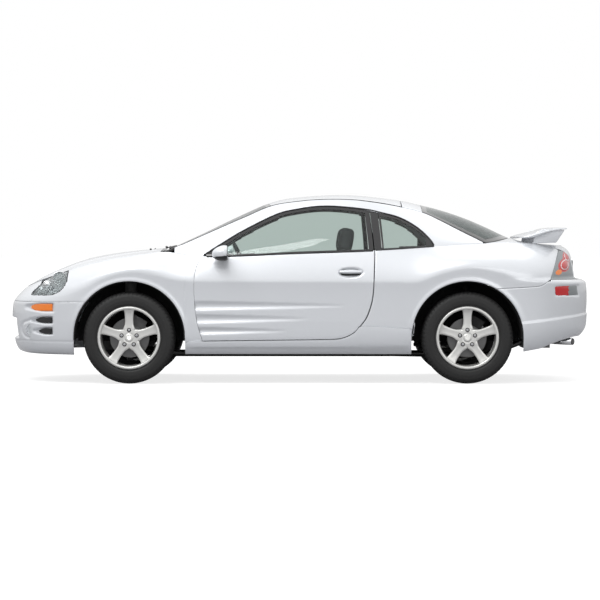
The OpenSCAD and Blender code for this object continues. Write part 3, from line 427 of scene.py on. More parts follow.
def slot_depth(x, z, y, cz, hz, x0, x1, taper, depth, soft=5):
    """A pressed slot round height cz, from the tip at x0 to its wide end at x1."""
    t = np.clip((x - x0) / (x1 - x0), 0, 1)
    h = hz * np.minimum(1, taper + (1 - taper) * t * 1.6)
    inside = (1 - step(h - soft, h + soft, np.abs(z - cz)))
    return depth * inside * step(x0, x0 + 30, x) * (1 - step(x1 - 8, x1 + 4, x)) * (np.abs(y) > 300)

def front_relief(x, y, z):
    d = slot_depth(x, z, y, 552, 33, -2020, -1786, 0.35, 16)
    d = d + slot_depth(x, z, y, 459, 26, -1990, -1795, 0.3, 26)
    d = d + slot_depth(x, z, y, 378, 27, -1955, -1795, 0.3, 26)
    d = d + 3.5 * np.exp(-((z - 304) / 5) ** 2)
    d = d + 9 * np.exp(-((np.hypot((z - 388) * 1.0, (np.abs(y) - 560) * 0.62) - 62) / 9) ** 2) * (x < -1980)
    mouth = (np.abs(y) < 420) * (1 - step(68, 80, np.abs(z - 395))) * (1 - step(330, 400, np.abs(y)))
    return d + 34 * mouth

S = np.concatenate([rim_steps(230, 0.004) * -2 + 1])
Z = mix(207.0, 591.5, rim_steps(92, 0.006))
ss, zz = np.meshgrid(S, Z, indexing="ij")
ex = arch_x(zz, -1, FX * 1000)
x, y, z = nose_row(ss, zz, ex)
y = y + np.sign(y) * lip(x, z) * (np.abs(y) > 600)
G = np.stack([x, y, z], 2)
N = normals(G)
G = G - N * front_relief(x, y, z)[..., None]
bumper = panel("front_bumper_cover", G, 5, "root", PAINT)
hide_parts("front_bumper")

S = -2 * rim_steps(110, 0.006) + 1
hi = np.full_like(S, 690.0)
for _ in range(40):
    hi = np.maximum(681, hood_edge(nose_row(S, hi, -1900.0)[0]) - 6)
T = rim_steps(26, 0.02)
zz = 593.5 + (hi - 593.5)[:, None] * T[None]
x, y, z = nose_row(np.repeat(S[:, None], len(T), 1), zz, -1900.0)
G = np.stack([x, y, z], 2)

def lamp_high(x):
    return np.minimum(hood_edge(x) - 3, sp(LAMP_LOW, x) + 12 + 0.95 * np.maximum(x + 1965, 0))

def centre(A):
    return (A[:-1, :-1] + A[1:, :-1] + A[:-1, 1:] + A[1:, 1:]) / 4

c = centre(G)
keep = ~((c[..., 0] > -1961) & (c[..., 2] < lamp_high(c[..., 0]) + 3))
nose = panel("nose_cover", G, 6, "root", PAINT, keep=keep)
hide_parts("nose_panel")

# %% [markdown]
# ## Hood
# One large lid with two soft ridges that run from the lamps to the windscreen. It hinges at the rear.

# %% hood
X = np.concatenate([[-2040, -2038.5], -2036 + 1023 * np.linspace(0, 1, 90) ** 1.25, [-1011.5, -1010]])
Q = -1 + 2 * rim_steps(110, 0.004)
zc = hood_edge(X)
W = half(X, zc) - 5
xx = np.repeat(X[:, None], len(Q), 1)
yy = W[:, None] * Q[None]
zz = sp(HOOD_LINE, X)[:, None] - sp(HOOD_DROP, X)[:, None] * (Q ** 2)[None]
ridge = 0.74 - 0.12 * step(-1900, -1100, xx)
zz = zz + 5 * np.exp(-((np.abs(Q)[None] - ridge) / 0.07) ** 2) * step(-2000, -1800, xx) * (1 - step(-1060, -1015, xx))
hood = panel("hood_skin", np.stack([xx, yy, zz], 2), 18, "hood", PAINT)
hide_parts("hood")

# %% [markdown]
# ## Fenders, body sides and doors
# The side of the car is one pressing visually, cut by the door gap. The door carries three
# tapering grooves that start at its front edge, and a dished cup with a bar handle.

# %% side panels
def fender_low(x):
    return np.maximum(np.where(x < -1400, 593.6, np.where(x > -900, sp(SKIRT_Z, x) + 1, 0)), arch_z(x))

ARC = FX * 1000 - 405 * np.cos(np.radians(np.arange(47.5, 179.5, 2.2)))
X = np.concatenate([edges(-1962, ARC[0] - 2, 60), ARC, [-826, -824.2], edges(-820, -700, 16)[1:]])
G = side_grid(X, fender_low, lambda x: np.minimum(hood_edge(x), sp(EDGE_Z, x)) - 1.5, 64)
c = centre(G)
keep = ~((c[..., 0] < -1688) & (c[..., 2] > sp(LAMP_LOW, c[..., 0]) - 2))
fenders = pair("fender_skin", G, 5, "root", PAINT, keep=keep, edge=1.2)
for ob, side in zip(fenders, ("left", "right")):
    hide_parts(f"fender_{side}")

GROOVES = ((567, 33, -700, 360), (472, 33, -680, 80), (385, 26, -668, -60))
def door_relief(x, z):
    d = 0
    for cz, h, x0, x1 in GROOVES:
        t = np.clip((x - x0) / (x1 - x0), 0, 1)
        hh = np.maximum(h * (1 - t) ** 0.6, 0.5)
        u = (z - cz) / hh
        d = d - 13 * (1 - t) ** 0.8 * np.where(np.abs(u) < 1, np.cos(np.clip(u, -1, 1) * np.pi / 2) ** 0.8, 0) * step(x0 - 200, x0, x)
    e = ((x - 372) / 92) ** 2 + ((z - 806) / 37) ** 2
    return d - 17 * (1 - step(0.55, 1.05, e))

X = edges(-697, 545, 150)
G = side_grid(X, lambda x: sp(SKIRT_Z, x) + 1, lambda x: sp(EDGE_Z, x) - 1, 110, door_relief, flare=False)
for ob, side in zip(pair("door_skin", G, 6, "door_{}", PAINT), ("left", "right")):
    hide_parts(f"door_{side}")
G = side_grid(edges(-560, 538, 40), lambda x: sp(SKIRT_Z, x) + 4, lambda x: sp(EDGE_Z, x) - 3, 40, flare=False)
G = G - normals(G) * 62
c = G[..., 2]
G = G - normals(G) * (12 * np.exp(-((c - 640) / 60) ** 2) * (np.abs(G[..., 0]) < 420))[..., None]
pair("door_trim", G, 12, "door_{}", PANELC, slot="black_plastic")
G = side_grid(edges(-560, 540, 40), lambda x: sp(SKIRT_Z, x) + 3, lambda x: sp(EDGE_Z, x) - 2, 3, flare=False)
for nm, sel in (("door_sill_edge", 0), ("door_top_edge", 3)):
    row = G[:, sel]
    strip = np.stack([row + [0, 4, 0], row + [0, 64, 0]], 1)
    if sel: strip = strip[:, ::-1]
    pair(nm, strip, 3, "door_{}", BLACK, edge=0, slot="black_plastic")

def upper_low(x):
    return np.where(x > 984, sp(EDGE_Z, x), np.where(x < -697, sp(EDGE_Z, x), sp(WINDOW_Z, x) + 4))
X = np.concatenate([edges(-905, -698, 24), edges(-696, 983, 150), edges(985, 1345, 40)])
G = side_grid(X, upper_low, lambda x: sp(RAIL_Z, x) - np.where(x > 750, 3, 1), 18, flare=False)
rails = pair("roof_rail", G, 26, "root", PAINT, edge=1.0)
ARC = RX * 1000 - 405 * np.cos(np.radians(np.arange(1, 116, 2.2)))
def quarter_low(x):
    return np.maximum(np.where(x > RX * 1000, sp(BUMPER_TOP, x) + 1.5, np.where(x > 815, 0, sp(SKIRT_Z, x))), arch_z(x))

def tail_edge(z):
    """Where the panel stops: at the lamp, and above it at the side of the boot lid."""
    th = 391 + 0.8 * np.clip(z - 900, 0, 67) + 2.7 * np.maximum(z - 967, 0)
    lid = 1400 + (sp(TAIL_X, z) - 1400) * corner(th / section(1900, z), 2.8)
    return np.minimum(mix(1829, 1905, np.clip((z - 757) / 210, 0, 1)), lid - 3) - 2.5

X = np.concatenate([edges(552, 815.5 - 1, 40), ARC, [1400], edges(1403, 1818, 70)])
T = rim_steps(80, 0.004)[None]
end = tail_edge(mix(757.0, 1004.0, T))
xx = np.where(X[:, None] > 1400, mix(1400.0, end, (X[:, None] - 1400) / 418), X[:, None] + 0 * T)
zz = mix(quarter_low(np.minimum(xx, 1824)), sp(EDGE_Z, xx) - np.where(xx > 1364, 1.5, 0), T)
bx = bend(xx, zz)
G = np.stack([bx, -half(bx, zz) - lip(bx, zz), zz], 2)
thick = np.where(G[..., 0] > 1735, 7, 26)
quarters = pair("rear_quarter", G, thick[..., None], "root", PAINT, edge=1.0)
X = edges(-824, 814, 120)
G = side_grid(X, lambda x: 215 + 0 * x, lambda x: sp(SKIRT_Z, x) - np.where((x > -705) & (x < 545), 6, 1), 20,
    lambda x, z: (9 - 7 * (1 - step(256, 266, z))) * step(-824, -770, x) * (1 - step(750, 814, x)), flare=False)
pair("sill_panel", G, 30, "root", PAINT, edge=1.4)
for ob, side in zip(quarters, ("left", "right")):
    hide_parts(f"body_side_{side}")
pair("centre_pillar", side_grid(np.linspace(549, 600, 6), lambda x: sp(EDGE_Z, x) - 1,
    lambda x: sp(WINDOW_Z, x) + 6, 20, lambda x, z: -7 + 0 * x, flare=False), 26, "root", GLOSS, edge=1, slot="black_plastic")

# %% [markdown]
# ## Handles
# A bar stands over the cup, with a painted grip and a dark shadow gap behind it.

# %% handles
def tube(name, pts, r, body, mat, ring=14, flat=1.0, closed=False):
    """A round bar through points in mm; r may be one radius or one for each point."""
    P = np.array(pts, float)
    r = np.broadcast_to(np.asarray(r, float), (len(P),))
    D = np.gradient(P, axis=0) if not closed else np.roll(P, -1, 0) - np.roll(P, 1, 0)
    D /= np.linalg.norm(D, axis=1, keepdims=True)
    up = np.array([0, 0, 1.0]) if abs(D[0][2]) < 0.8 else np.array([1.0, 0, 0])
    V = []
    for p, d, q in zip(P, D, r):
        a = np.cross(d, up); a /= np.linalg.norm(a)
        b = np.cross(a, d)
        for k in range(ring):
            w = 2 * math.pi * k / ring
            V.append(p + q * (a * math.cos(w) + b * flat * math.sin(w)))
    n = len(P)
    F = [(i * ring + k, i * ring + (k + 1) % ring, ((i + 1) % n) * ring + (k + 1) % ring, ((i + 1) % n) * ring + k)
        for i in range(n if closed else n - 1) for k in range(ring)]
    if not closed:
        F += [tuple(range(ring - 1, -1, -1)), tuple((n - 1) * ring + k for k in range(ring))]
    V = np.array(V) * MM
    F = [f[::-1] for f in F]
    ob = mesh_object(name, V, F, body, mat)
    return ob

for s, side in ((-1, "left"), (1, "right")):
    xs_ = np.linspace(290, 455, 18)
    pts = [(x, s * (float(half(x, 812)) + 5 - 9 * abs((x - 372) / 85) ** 4), 812) for x in xs_]
    tube(f"door_handle_{side}", pts, [5 + 6 * math.sin(math.pi * min(max((i + 1.2) / 20, 0), 1)) ** 0.4 for i in range(18)],
        f"door_{side}", PAINT, flat=1.15)
    cup = [(x, s * (float(half(x, 800)) - 15), 800 - 0 * x) for x in np.linspace(305, 440, 8)]
    tube(f"handle_shadow_{side}", cup, 12, f"door_{side}", BLACK, flat=1.4)

# %% [markdown]
# ## Roof, glass and hatch
# The windscreen and the side windows are bonded glass: the outer band of each pane is printed
# black, which hides the glue. The tailgate carries the whole rear glass and the wing.

# %% roof and glass
def top_grid(x0, x1, n, m, inset=2.0, rim=0.004):
    """x0 and x1 are functions of q, the share of the half width."""
    Tt, Q = rim_steps(n, 0.004), -1 + 2 * rim_steps(m, rim)
    tt, qq = np.meshgrid(Tt, Q, indexing="ij")
    x = mix(x0(qq), x1(qq), tt)
    y = qq * (sp(RAIL_Y, x) - inset)
    return np.stack([x, y, top_z(x, y)], 2)

roof = panel("roof_skin", top_grid(lambda q: -235 + 30 * q * q + 2, lambda q: 750 + 0 * q, 90, 90), 22, "root", PAINT)
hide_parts("roof_panel")

def frit(ob, G, bands, clear=0):
    """Print the band of a pane black: bands are its widths in mm at the four sides."""
    nu, nv = G.shape[:2]
    u = np.cumsum(np.r_[0, np.linalg.norm(np.diff(G[:, nv // 2], axis=0), axis=1)])
    v = np.cumsum(np.linalg.norm(np.diff(G, axis=1), axis=2), axis=1)
    v = np.concatenate([np.zeros((nu, 1)), v], 1)
    uc, vc = (u[:-1] + u[1:]) / 2, (v[:-1, :-1] + v[:-1, 1:]) / 2
    black = (uc[:, None] < bands[0]) | (uc[:, None] > u[-1] - bands[1]) | (vc < bands[2]) | (vc > v[:-1, -1:] - bands[3])
    return black

def pane(name, G, t, body, bands, glass, slot="glass", both=False):
    for side in (("left", "right") if both else ("",)):
        g = mirrored(G) if side == "right" else G
        bn = bands if side != "right" else (bands[1], bands[0], bands[2], bands[3])
        nm = f"{name}_{side}" if side else name
        ob = panel(nm, g, t, body.format(side), [glass, GLOSS], edge=0.6, slot=slot)
        black = frit(ob, g, bn)
        nu, nv = g.shape[:2]
        a = np.array([p.vertices[0] for p in ob.data.polygons]) % (nu * nv)
        i, j = np.minimum(a // nv, nu - 2), np.minimum(a % nv, nv - 2)
        idx = black[i, j].astype(int)
        ob.data.polygons.foreach_set("material_index", idx.tolist())
        yield ob

G = top_grid(lambda q: -950 + 85 * q * q, lambda q: -235 + 30 * q * q - 2, 80, 80, 4)
ws, = pane("windscreen_pane", G, 5, "root", (60, 26, 30, 30), SCREEN)
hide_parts("windscreen")
G = top_grid(lambda q: 906 + 0 * q, lambda q: 1573 - 209 * q * q, 80, 80, 9)
rg, = pane("rear_pane", G, 5, "hatch", (50, 45, 55, 55), SMOKE)
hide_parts("rear_glass")
X = edges(-674, 541, 120)
G = side_grid(X, lambda x: sp(EDGE_Z, x) + 1, lambda x: sp(WINDOW_Z, x) - 3, 50, flare=False)
for ob, side in zip(pane("door_pane", G, 5, "door_{}", (20, 34, 10, 26), GLASS, both=True), ("left", "right")):
    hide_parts(f"door_glass_{side}")
G = side_grid(edges(603, 976, 60), lambda x: sp(EDGE_Z, x) + 1, lambda x: sp(WINDOW_Z, x) + 1, 40,
    lambda x, z: 0 * x - 1, flare=False)
q = list(pane("quarter_pane", G, 5, "root", (12, 60, 14, 26), GLASS, both=True))
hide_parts("quarter_glass")

# %% hatch
G = top_grid(lambda q: 757 + 0 * q, lambda q: 904 + 0 * q, 30, 90, 9)
hat_top = panel("hatch_header", G, 14, "hatch", PAINT)
Tt, Q = rim_steps(90, 0.004), -1 + 2 * rim_steps(90, 0.004)
tt, qq = np.meshgrid(Tt, Q, indexing="ij")
x = mix(1573 - 209 * qq * qq + 3, 1962, tt)
w = half(x, sp(EDGE_Z, x) - 2) - 6
y = qq * w
deck = panel("hatch_deck", np.stack([x, y, deck_z(x, y)], 2), 14, "hatch", PAINT)
Zf = mix(1004.0, 764.0, rim_steps(60, 0.006))[::-1]
qq, zz = np.meshgrid(-1 + 2 * rim_steps(90, 0.004), Zf, indexing="ij")
th = 384 + 0.8 * np.clip(zz - 900, 0, 67) + 2.7 * np.maximum(zz - 967, 0)
y = qq * th
ww = section(1900, zz)
x = 1400 + (sp(TAIL_X, zz) - 1400) * (1 - np.minimum(np.abs(y) / ww, .99) ** 2.8) ** (1 / 2.8)
recess = 10 * (1 - step(0, 14, np.abs(y) - 285)) * (1 - step(0, 12, np.abs(zz - 838) - 58))
face = panel("hatch_face", np.stack([x - recess, y, zz], 2), 14, "hatch", PAINT)
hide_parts("hatch")
# The frame under the rear glass joins the header to the boot lid.
Xs = np.linspace(800, 1440, 30)
w = sp(RAIL_Y, np.minimum(Xs, 1364)) - 12
for side, sgn in (("left", -1), ("right", 1)):
    g = np.stack([np.stack([Xs, sgn * (w - d), top_z(Xs, w - d) - 10], 1) for d in ((0, 30, 60) if sgn < 0 else (60, 30, 0))], 1)
    panel(f"hatch_arm_{side}", g, 12, "hatch", BLACK, edge=0, slot="black_plastic")
Qs = np.linspace(-0.96, 0.96, 40)
for nm, x0, x1 in (("upper", 870 + 0 * Qs, 945 + 0 * Qs), ("lower", 1528 - 209 * Qs ** 2, 1600 - 209 * Qs ** 2)):
    rows = []
    for f in (0, 0.5, 1):
        x = mix(x0, x1, f)
        y = Qs * (sp(RAIL_Y, np.minimum(x, 1364)) - 12)
        rows.append(np.stack([x, y, np.minimum(top_z(x, y), deck_z(x, y) if nm == "lower" else 9999) - 17], 1))
    panel(f"hatch_rail_{nm}", np.array(rows), 10, "hatch", BLACK, edge=0, slot="black_plastic")
bpy.ops.mesh.primitive_cube_add(size=1)
plate = bpy.context.object
plate.name = "blank_plate"
plate.scale = (0.004, 0.52, 0.11)
plate.location = (2.037, 0, 0.838)
bpy.ops.object.transform_apply(location=True, scale=True)
bv = plate.modifiers.new("b", "BEVEL"); bv.width = 0.0015; bv.segments = 2
plate.data.materials.append(material("plate_metal", (0.75, 0.75, 0.73), 0.4, 0.1, 0.2, (200, 0.06)))
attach(plate, "hatch")

# %% [markdown]
# ## Wing
# One aerofoil bar that arches over the boot lid, standing on a swept foot at each end.

# %% wing
WING_TOP = curve(0, 1072, 0.12, 1086, 0.45, 1116, 0.62, 1133, 0.8, 1137, 1, 1136)
def wing_point(q, s, under):
    x = mix(1600 + 45 * q * q, 1985 - 25 * q * q, s)
    top = sp(WING_TOP, s) - 6 * q * q
    thick = 7 + 22 * np.sin(np.pi * np.clip(s, 0, 1) ** 0.7)
    return np.stack([x, q * 590 + 0 * s, top - (thick if under else 0)], -1)
s1 = (1 - np.cos(np.linspace(0, np.pi, 34))) / 2
V, F, nq = [], [], 60
for q in np.linspace(-1, 1, nq):
    V += list(wing_point(q, s1, False)) + list(wing_point(q, s1[::-1][1:-1], True))
nr = len(V) // nq
F = [(i * nr + k, i * nr + (k + 1) % nr, (i + 1) * nr + (k + 1) % nr, (i + 1) * nr + k) for i in range(nq - 1) for k in range(nr)]
F += [tuple(range(nr - 1, -1, -1)), tuple((nq - 1) * nr + k for k in range(nr))]
wing = mesh_object("rear_wing", np.array(V) * MM, [f[::-1] for f in F], "hatch", PAINT)
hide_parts("spoiler")
for s, side in ((-1, "left"), (1, "right")):
    base = [(1712, 1016), (1885, 1024), (1945, 1116), (1790, 1122), (1735, 1100)]
    V = []
    for off in (9, -9):
        V += [(x, s * (562 + (z - 1020) * 0.12) + off, z) for x, z in base]
    n = len(base)
    F = [tuple(range(n)), tuple(range(2 * n - 1, n - 1, -1))] + [(i, (i + 1) % n, n + (i + 1) % n, n + i)[::-1] for i in range(n)]
    foot = mesh_object(f"wing_foot_{side}", np.array(V) * MM, F, "hatch", PAINT)
    bv = foot.modifiers.new("b", "BEVEL"); bv.width = 0.007; bv.segments = 4

# %% [markdown]
# ## Rear bumper and lamps
# The cover wraps the tail from arch to arch. The lamp clusters hold two round red lenses with
# silver rims on a grey ground, with the indicator below.

# %% rear
def tail_row(s, z, end_x):
    tx = sp(TAIL_X, z)
    ln = tx - 1400
    end = np.arccos(np.clip((end_x - 1400) / ln, 0, 1) ** (2.8 / 2))
    f = np.abs(s) * end
    return 1400 + ln * np.cos(f) ** (2 / 2.8), np.sign(s) * section(np.minimum(1400 + ln * np.cos(f) ** (2 / 2.8), 2150), z) * np.sin(f) ** (2 / 2.8), z
S = -1 + 2 * rim_steps(230, 0.004)
x0, _, _ = tail_row(S, 600.0, arch_x(500.0, 1, RX * 1000))
zt = np.full_like(S, 700.0)
for _ in range(12):
    zt = sp(BUMPER_TOP, tail_row(S, zt, np.maximum(arch_x(zt, 1, RX * 1000), 1405))[0])
Tt = rim_steps(90, 0.006)
zz = sp(REAR_BASE, x0)[:, None] + (zt - 1 - sp(REAR_BASE, x0))[:, None] * Tt
x, y, z = tail_row(np.repeat(S[:, None], len(Tt), 1), zz, np.maximum(arch_x(zz, 1, RX * 1000), 1405))
y = y + np.sign(y) * lip(x, z) * (np.abs(y) > 600)
G = np.stack([x, y, z], 2)
rel = 8 * (1 - step(-4, 3, np.abs(z - 674) - 36 - 0.05 * (x - 1940))) * step(1856, 1866, x) * (np.abs(y) > 430) * (1 - step(2040, 2060, x))
rel = rel - 8 * (1 - step(448, 456, z - 0.12 * (x - 1700)))
rear = panel("rear_bumper_cover", G - normals(G) * rel[..., None], 5, "root", PAINT)
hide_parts("rear_bumper")
for side, sgn in (("left", -1), ("right", 1)):
    m = (x > 1868) & (x < 2036) & (np.abs(z - 674) < 34 + 0.05 * (x - 1940)) & (np.sign(y) == sgn) & (np.abs(y) > 430)
    ii, jj = np.where(m)
    i0, i1, j0, j1 = ii.min(), ii.max(), jj.min(), jj.max()
    g = (G - normals(G) * 2.5)[i0:i1 + 1, j0:j1 + 1]
    ob = panel(f"side_marker_{side}", g, 5, "root", [RED, LAMP_CUP], edge=1.5, slot="lamp_red")
    ob.data.polygons.foreach_set("material_index", [1 if p.center.x > 1.965 else 0 for p in ob.data.polygons])

def lamp_grid(n, m):
    zz = mix(760.0, 966.0, rim_steps(m, 0.01))
    tx = sp(TAIL_X, zz)
    w = section(1900, zz)
    front = mix(1829, 1905, np.clip((zz - 757) / 210, 0, 1))
    e = np.arccos(np.clip((front - 1400) / (tx - 1400), 0, 1) ** 1.4)
    st = np.arcsin(((400 + np.maximum(0, zz - 900) * 0.8) / w) ** 1.4)
    f = mix(e[None], st[None], rim_steps(n, 0.006)[:, None])
    x = 1400 + (tx - 1400)[None] * np.cos(f) ** (1 / 1.4)
    return np.stack([x, -section(np.minimum(x, 1900), zz[None] + 0 * x) * np.sin(f) ** (1 / 1.4), zz[None] + 0 * x], 2)
G = lamp_grid(110, 80)
arc = np.concatenate([[[0] * G.shape[1]], np.cumsum(np.linalg.norm(np.diff(G, axis=0), axis=2), axis=0)])
def zone(u0, z0, a, b):
    return np.hypot((arc - u0) / a, (G[..., 2] - z0) / b)
e1, e2, e3 = zone(190, 928, 66, 34), zone(140, 860, 62, 32), zone(66, 806, 40, 20)
bulge = sum(7 * np.sqrt(np.maximum(1 - e ** 2, 0)) for e in (e1, e2)) + sum(4 * np.exp(-((e - 1.1) / 0.08) ** 2) for e in (e1, e2))
G2 = G + normals(G) * bulge[..., None]
c = np.minimum(e1, e2)
kind = np.where(c < 1, 1, np.where(c < 1.16, 2, np.where(e3 < 1, 3, np.where(c < 1.65, 1, 0))))
for side in ("left", "right"):
    g = G2 if side == "left" else mirrored(G2)
    kk = kind if side == "left" else kind[::-1]
    ob = panel(f"tail_lamp_lens_{side}", g, 30, "root", [LAMP_CUP, RED, CHROME, AMBER], edge=2, slot="lamp_red")
    nv = g.shape[1]
    a = np.array([p.vertices[0] for p in ob.data.polygons]) % (g.shape[0] * nv)
    ob.data.polygons.foreach_set("material_index", kk[np.minimum(a // nv, g.shape[0] - 2), a % nv].tolist())
    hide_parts(f"tail_lamp_{side}")

# %% headlamps
X = edges(-1964, -1691, 90)
def lens_grid(n, push=0.0):
    G = side_grid(X, lambda x: sp(LAMP_LOW, x) + 1, lamp_high, n, flare=False)
    return G - normals(G) * push
for side in ("left", "right"):
    f = (lambda g: g) if side == "left" else mirrored
    lens = panel(f"headlamp_lens_{side}", f(lens_grid(40, 1.0)), 3, "root", LENS, edge=1.5, slot="lamp_clear")
    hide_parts(f"headlamp_{side}")
    cup = lens_grid(40)
    uu, vv = np.meshgrid(np.linspace(0, 1, cup.shape[0]), np.linspace(0, 1, cup.shape[1]), indexing="ij")
    depth = 6 + 42 * np.clip(4 * uu * (1 - uu), 0, 1) ** 0.5 * np.clip(4 * vv * (1 - vv), 0, 1) ** 0.5
    depth = depth - 10 * np.exp(-((uu - 0.42) / 0.03) ** 2) * (4 * vv * (1 - vv))
    ob = panel(f"headlamp_bowl_{side}", f(cup - normals(cup) * depth[..., None]), 2, "root", LAMP_CUP, edge=0, slot="lamp_clear")
    sg = -1 if side == "left" else 1
    for nm, px, pz, r in (("main", -1752, 762, 46), ("inner", -1842, 712, 30)):
        yy = float(half(px, pz)) - 26
        bpy.ops.mesh.primitive_uv_sphere_add(segments=40, ring_count=24, radius=r * MM, location=(px * MM, sg * (yy - 12) * MM, pz * MM))
        b = bpy.context.object
        b.name = f"headlamp_{nm}_{side}"
        b.scale = (1, 0.55, 1)
        bpy.ops.object.transform_apply(location=True, scale=True)
        for p in b.data.polygons: p.use_smooth = True
        b.data.materials.append(LENS if nm == "main" else CHROME)
        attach(b, "root")
        ring = [(px + (r + 3) * math.cos(w), sg * (yy - 4 - 0.25 * (r + 3) * math.cos(w)), pz + (r + 3) * math.sin(w)) for w in np.linspace(0, 2 * math.pi, 41)[:-1]]
        tube(f"headlamp_ring_{nm}_{side}", ring, 3.2, "root", CHROME, closed=True)
    g = lens_grid(40, 1.5)
    rimline = np.concatenate([g[:, 0], g[-1, 1:], g[::-1, -1][1:], g[0, ::-1][1:-1]]) * [1, 1 if side == "left" else -1, 1]
    tube(f"headlamp_seal_{side}", rimline, 2.6, "root", BLACK, ring=8, closed=True)

# %% [markdown]
# ## Wheels
# A low tyre on a five-spoke alloy rim. The tread has three grooves round it and cross cuts at the
# shoulders. The spokes widen into the rim, and five nuts sit in line with them.

# %% wheels
def spin(name, prof, n, body, mat, radial=None, place=None):
    """Turn a profile (radius, outward offset) about the axle; radial(r, w, a) may change the radius."""
    prof = np.array(prof, float)
    A = np.linspace(0, 2 * np.pi, n, endpoint=False)
    r, w = prof[:, 0][None] + 0 * A[:, None], prof[:, 1][None] + 0 * A[:, None]
    if radial is not None:
        r = radial(r, w, A[:, None])
    V = np.stack([r * np.sin(A)[:, None], -w, r * np.cos(A)[:, None]], 2).reshape(-1, 3)
    m = len(prof)
    F = [(i * m + j, ((i + 1) % n) * m + j, ((i + 1) % n) * m + (j + 1) % m, i * m + (j + 1) % m)
        for i in range(n) for j in range(m)]
    V = np.array([place(v) for v in V]) * MM
    ob = mesh_object(name, V, F, body, mat)
    return ob

def dense(points, n):
    P = np.array(points, float)
    d = np.r_[0, np.cumsum(np.linalg.norm(np.diff(P, axis=0), axis=1))]
    t = np.linspace(0, d[-1], n)
    return np.stack([np.interp(t, d, P[:, 0]), np.interp(t, d, P[:, 1])], 1)

tyre_half = dense([(217, -94), (222, -101), (238, -98), (243, -105), (272, -107), (300, -103.5), (312, -98),
    (322, -90), (329, -78), (331.5, -62), (333.5, -30), (334, 0)], 34)
tyre_prof = np.concatenate([tyre_half, (tyre_half * [1, -1])[::-1][1:], [(214, 60), (214, 0), (214, -60)]])
def tread(r, w, a):
    aw = np.abs(w)
    for g in (0, 34, 66):
        r = r - np.where(r > 318, 7 * np.exp(-((aw - g) / 3.6) ** 4), 0)
    k = (a * 64 / (2 * np.pi) + w * 0.012) % 1
    cut = (k < 0.20) & (aw > 40) & (aw < 97) & (r > 308)
    k2 = (a * 64 / (2 * np.pi) + 0.5 - w * 0.02) % 1
    mid = (k2 < 0.12) & (aw <= 40) & (r > 320)
    r = r - np.where(cut, 5.0, 0) - np.where(mid, 3.5, 0)
    return r - np.where(np.abs(r - 284) < 1.6, 0.8, 0) + np.where(np.abs(r - 262) < 2.4, 1.0, 0)

rim_prof = dense([(208, 103), (209, 105.5), (216, 106), (226, 105), (229, 101), (227, 97), (214.5, 95), (213, 60),
    (209, 20), (207.5, -90), (214, -95), (228, -98), (228, -103), (209, -104), (203, -92), (200, 10), (205, 60), (206.5, 96)], 56)

def spoke_mesh(name, k, body, place):
    """One spoke: its section changes from the hub to the rim, and its face is gently dished."""
    rows = [(46, 44, 76, 34), (66, 43, 80, 34), (80, 38, 79, 33), (95, 32, 78, 32), (120, 30, 78, 30),
        (155, 31, 79, 28), (182, 34, 82, 27), (198, 38, 86, 26), (207, 44, 89, 24)]
    R = np.array(rows, float)
    rr = np.linspace(46, 207, 26)
    hw, top, th = (np.interp(rr, R[:, 0], R[:, c]) for c in (1, 2, 3))
    prof = [(-1, 0.55), (-0.97, 0.16), (-0.84, 0.02), (-0.5, 0.04), (0, 0.1), (0.5, 0.04), (0.84, 0.02), (0.97, 0.16), (1, 0.55), (0.72, 1), (-0.72, 1)]
    V = []
    for r, h, t, d in zip(rr, hw, top, th):
        for u, v in prof:
            a = math.radians(72 * k)
            X_, Z_ = u * h, r
            V.append(place(np.array([X_ * math.cos(a) + Z_ * math.sin(a), -(t - v * d), -X_ * math.sin(a) + Z_ * math.cos(a)])))
    m = len(prof)
    F = [(i * m + j, i * m + (j + 1) % m, (i + 1) * m + (j + 1) % m, (i + 1) * m + j) for i in range(len(rr) - 1) for j in range(m)]
    F += [tuple(range(m - 1, -1, -1)), tuple((len(rr) - 1) * m + j for j in range(m))]
    return V, F

def join_meshes(name, parts, body, mat):
    V, F = [], []
    for v, f in parts:
        o = len(V)
        V += list(v)
        F += [tuple(i + o for i in x) for x in f]
    ob = mesh_object(name, np.array(V) * MM, F, body, mat)
    return ob

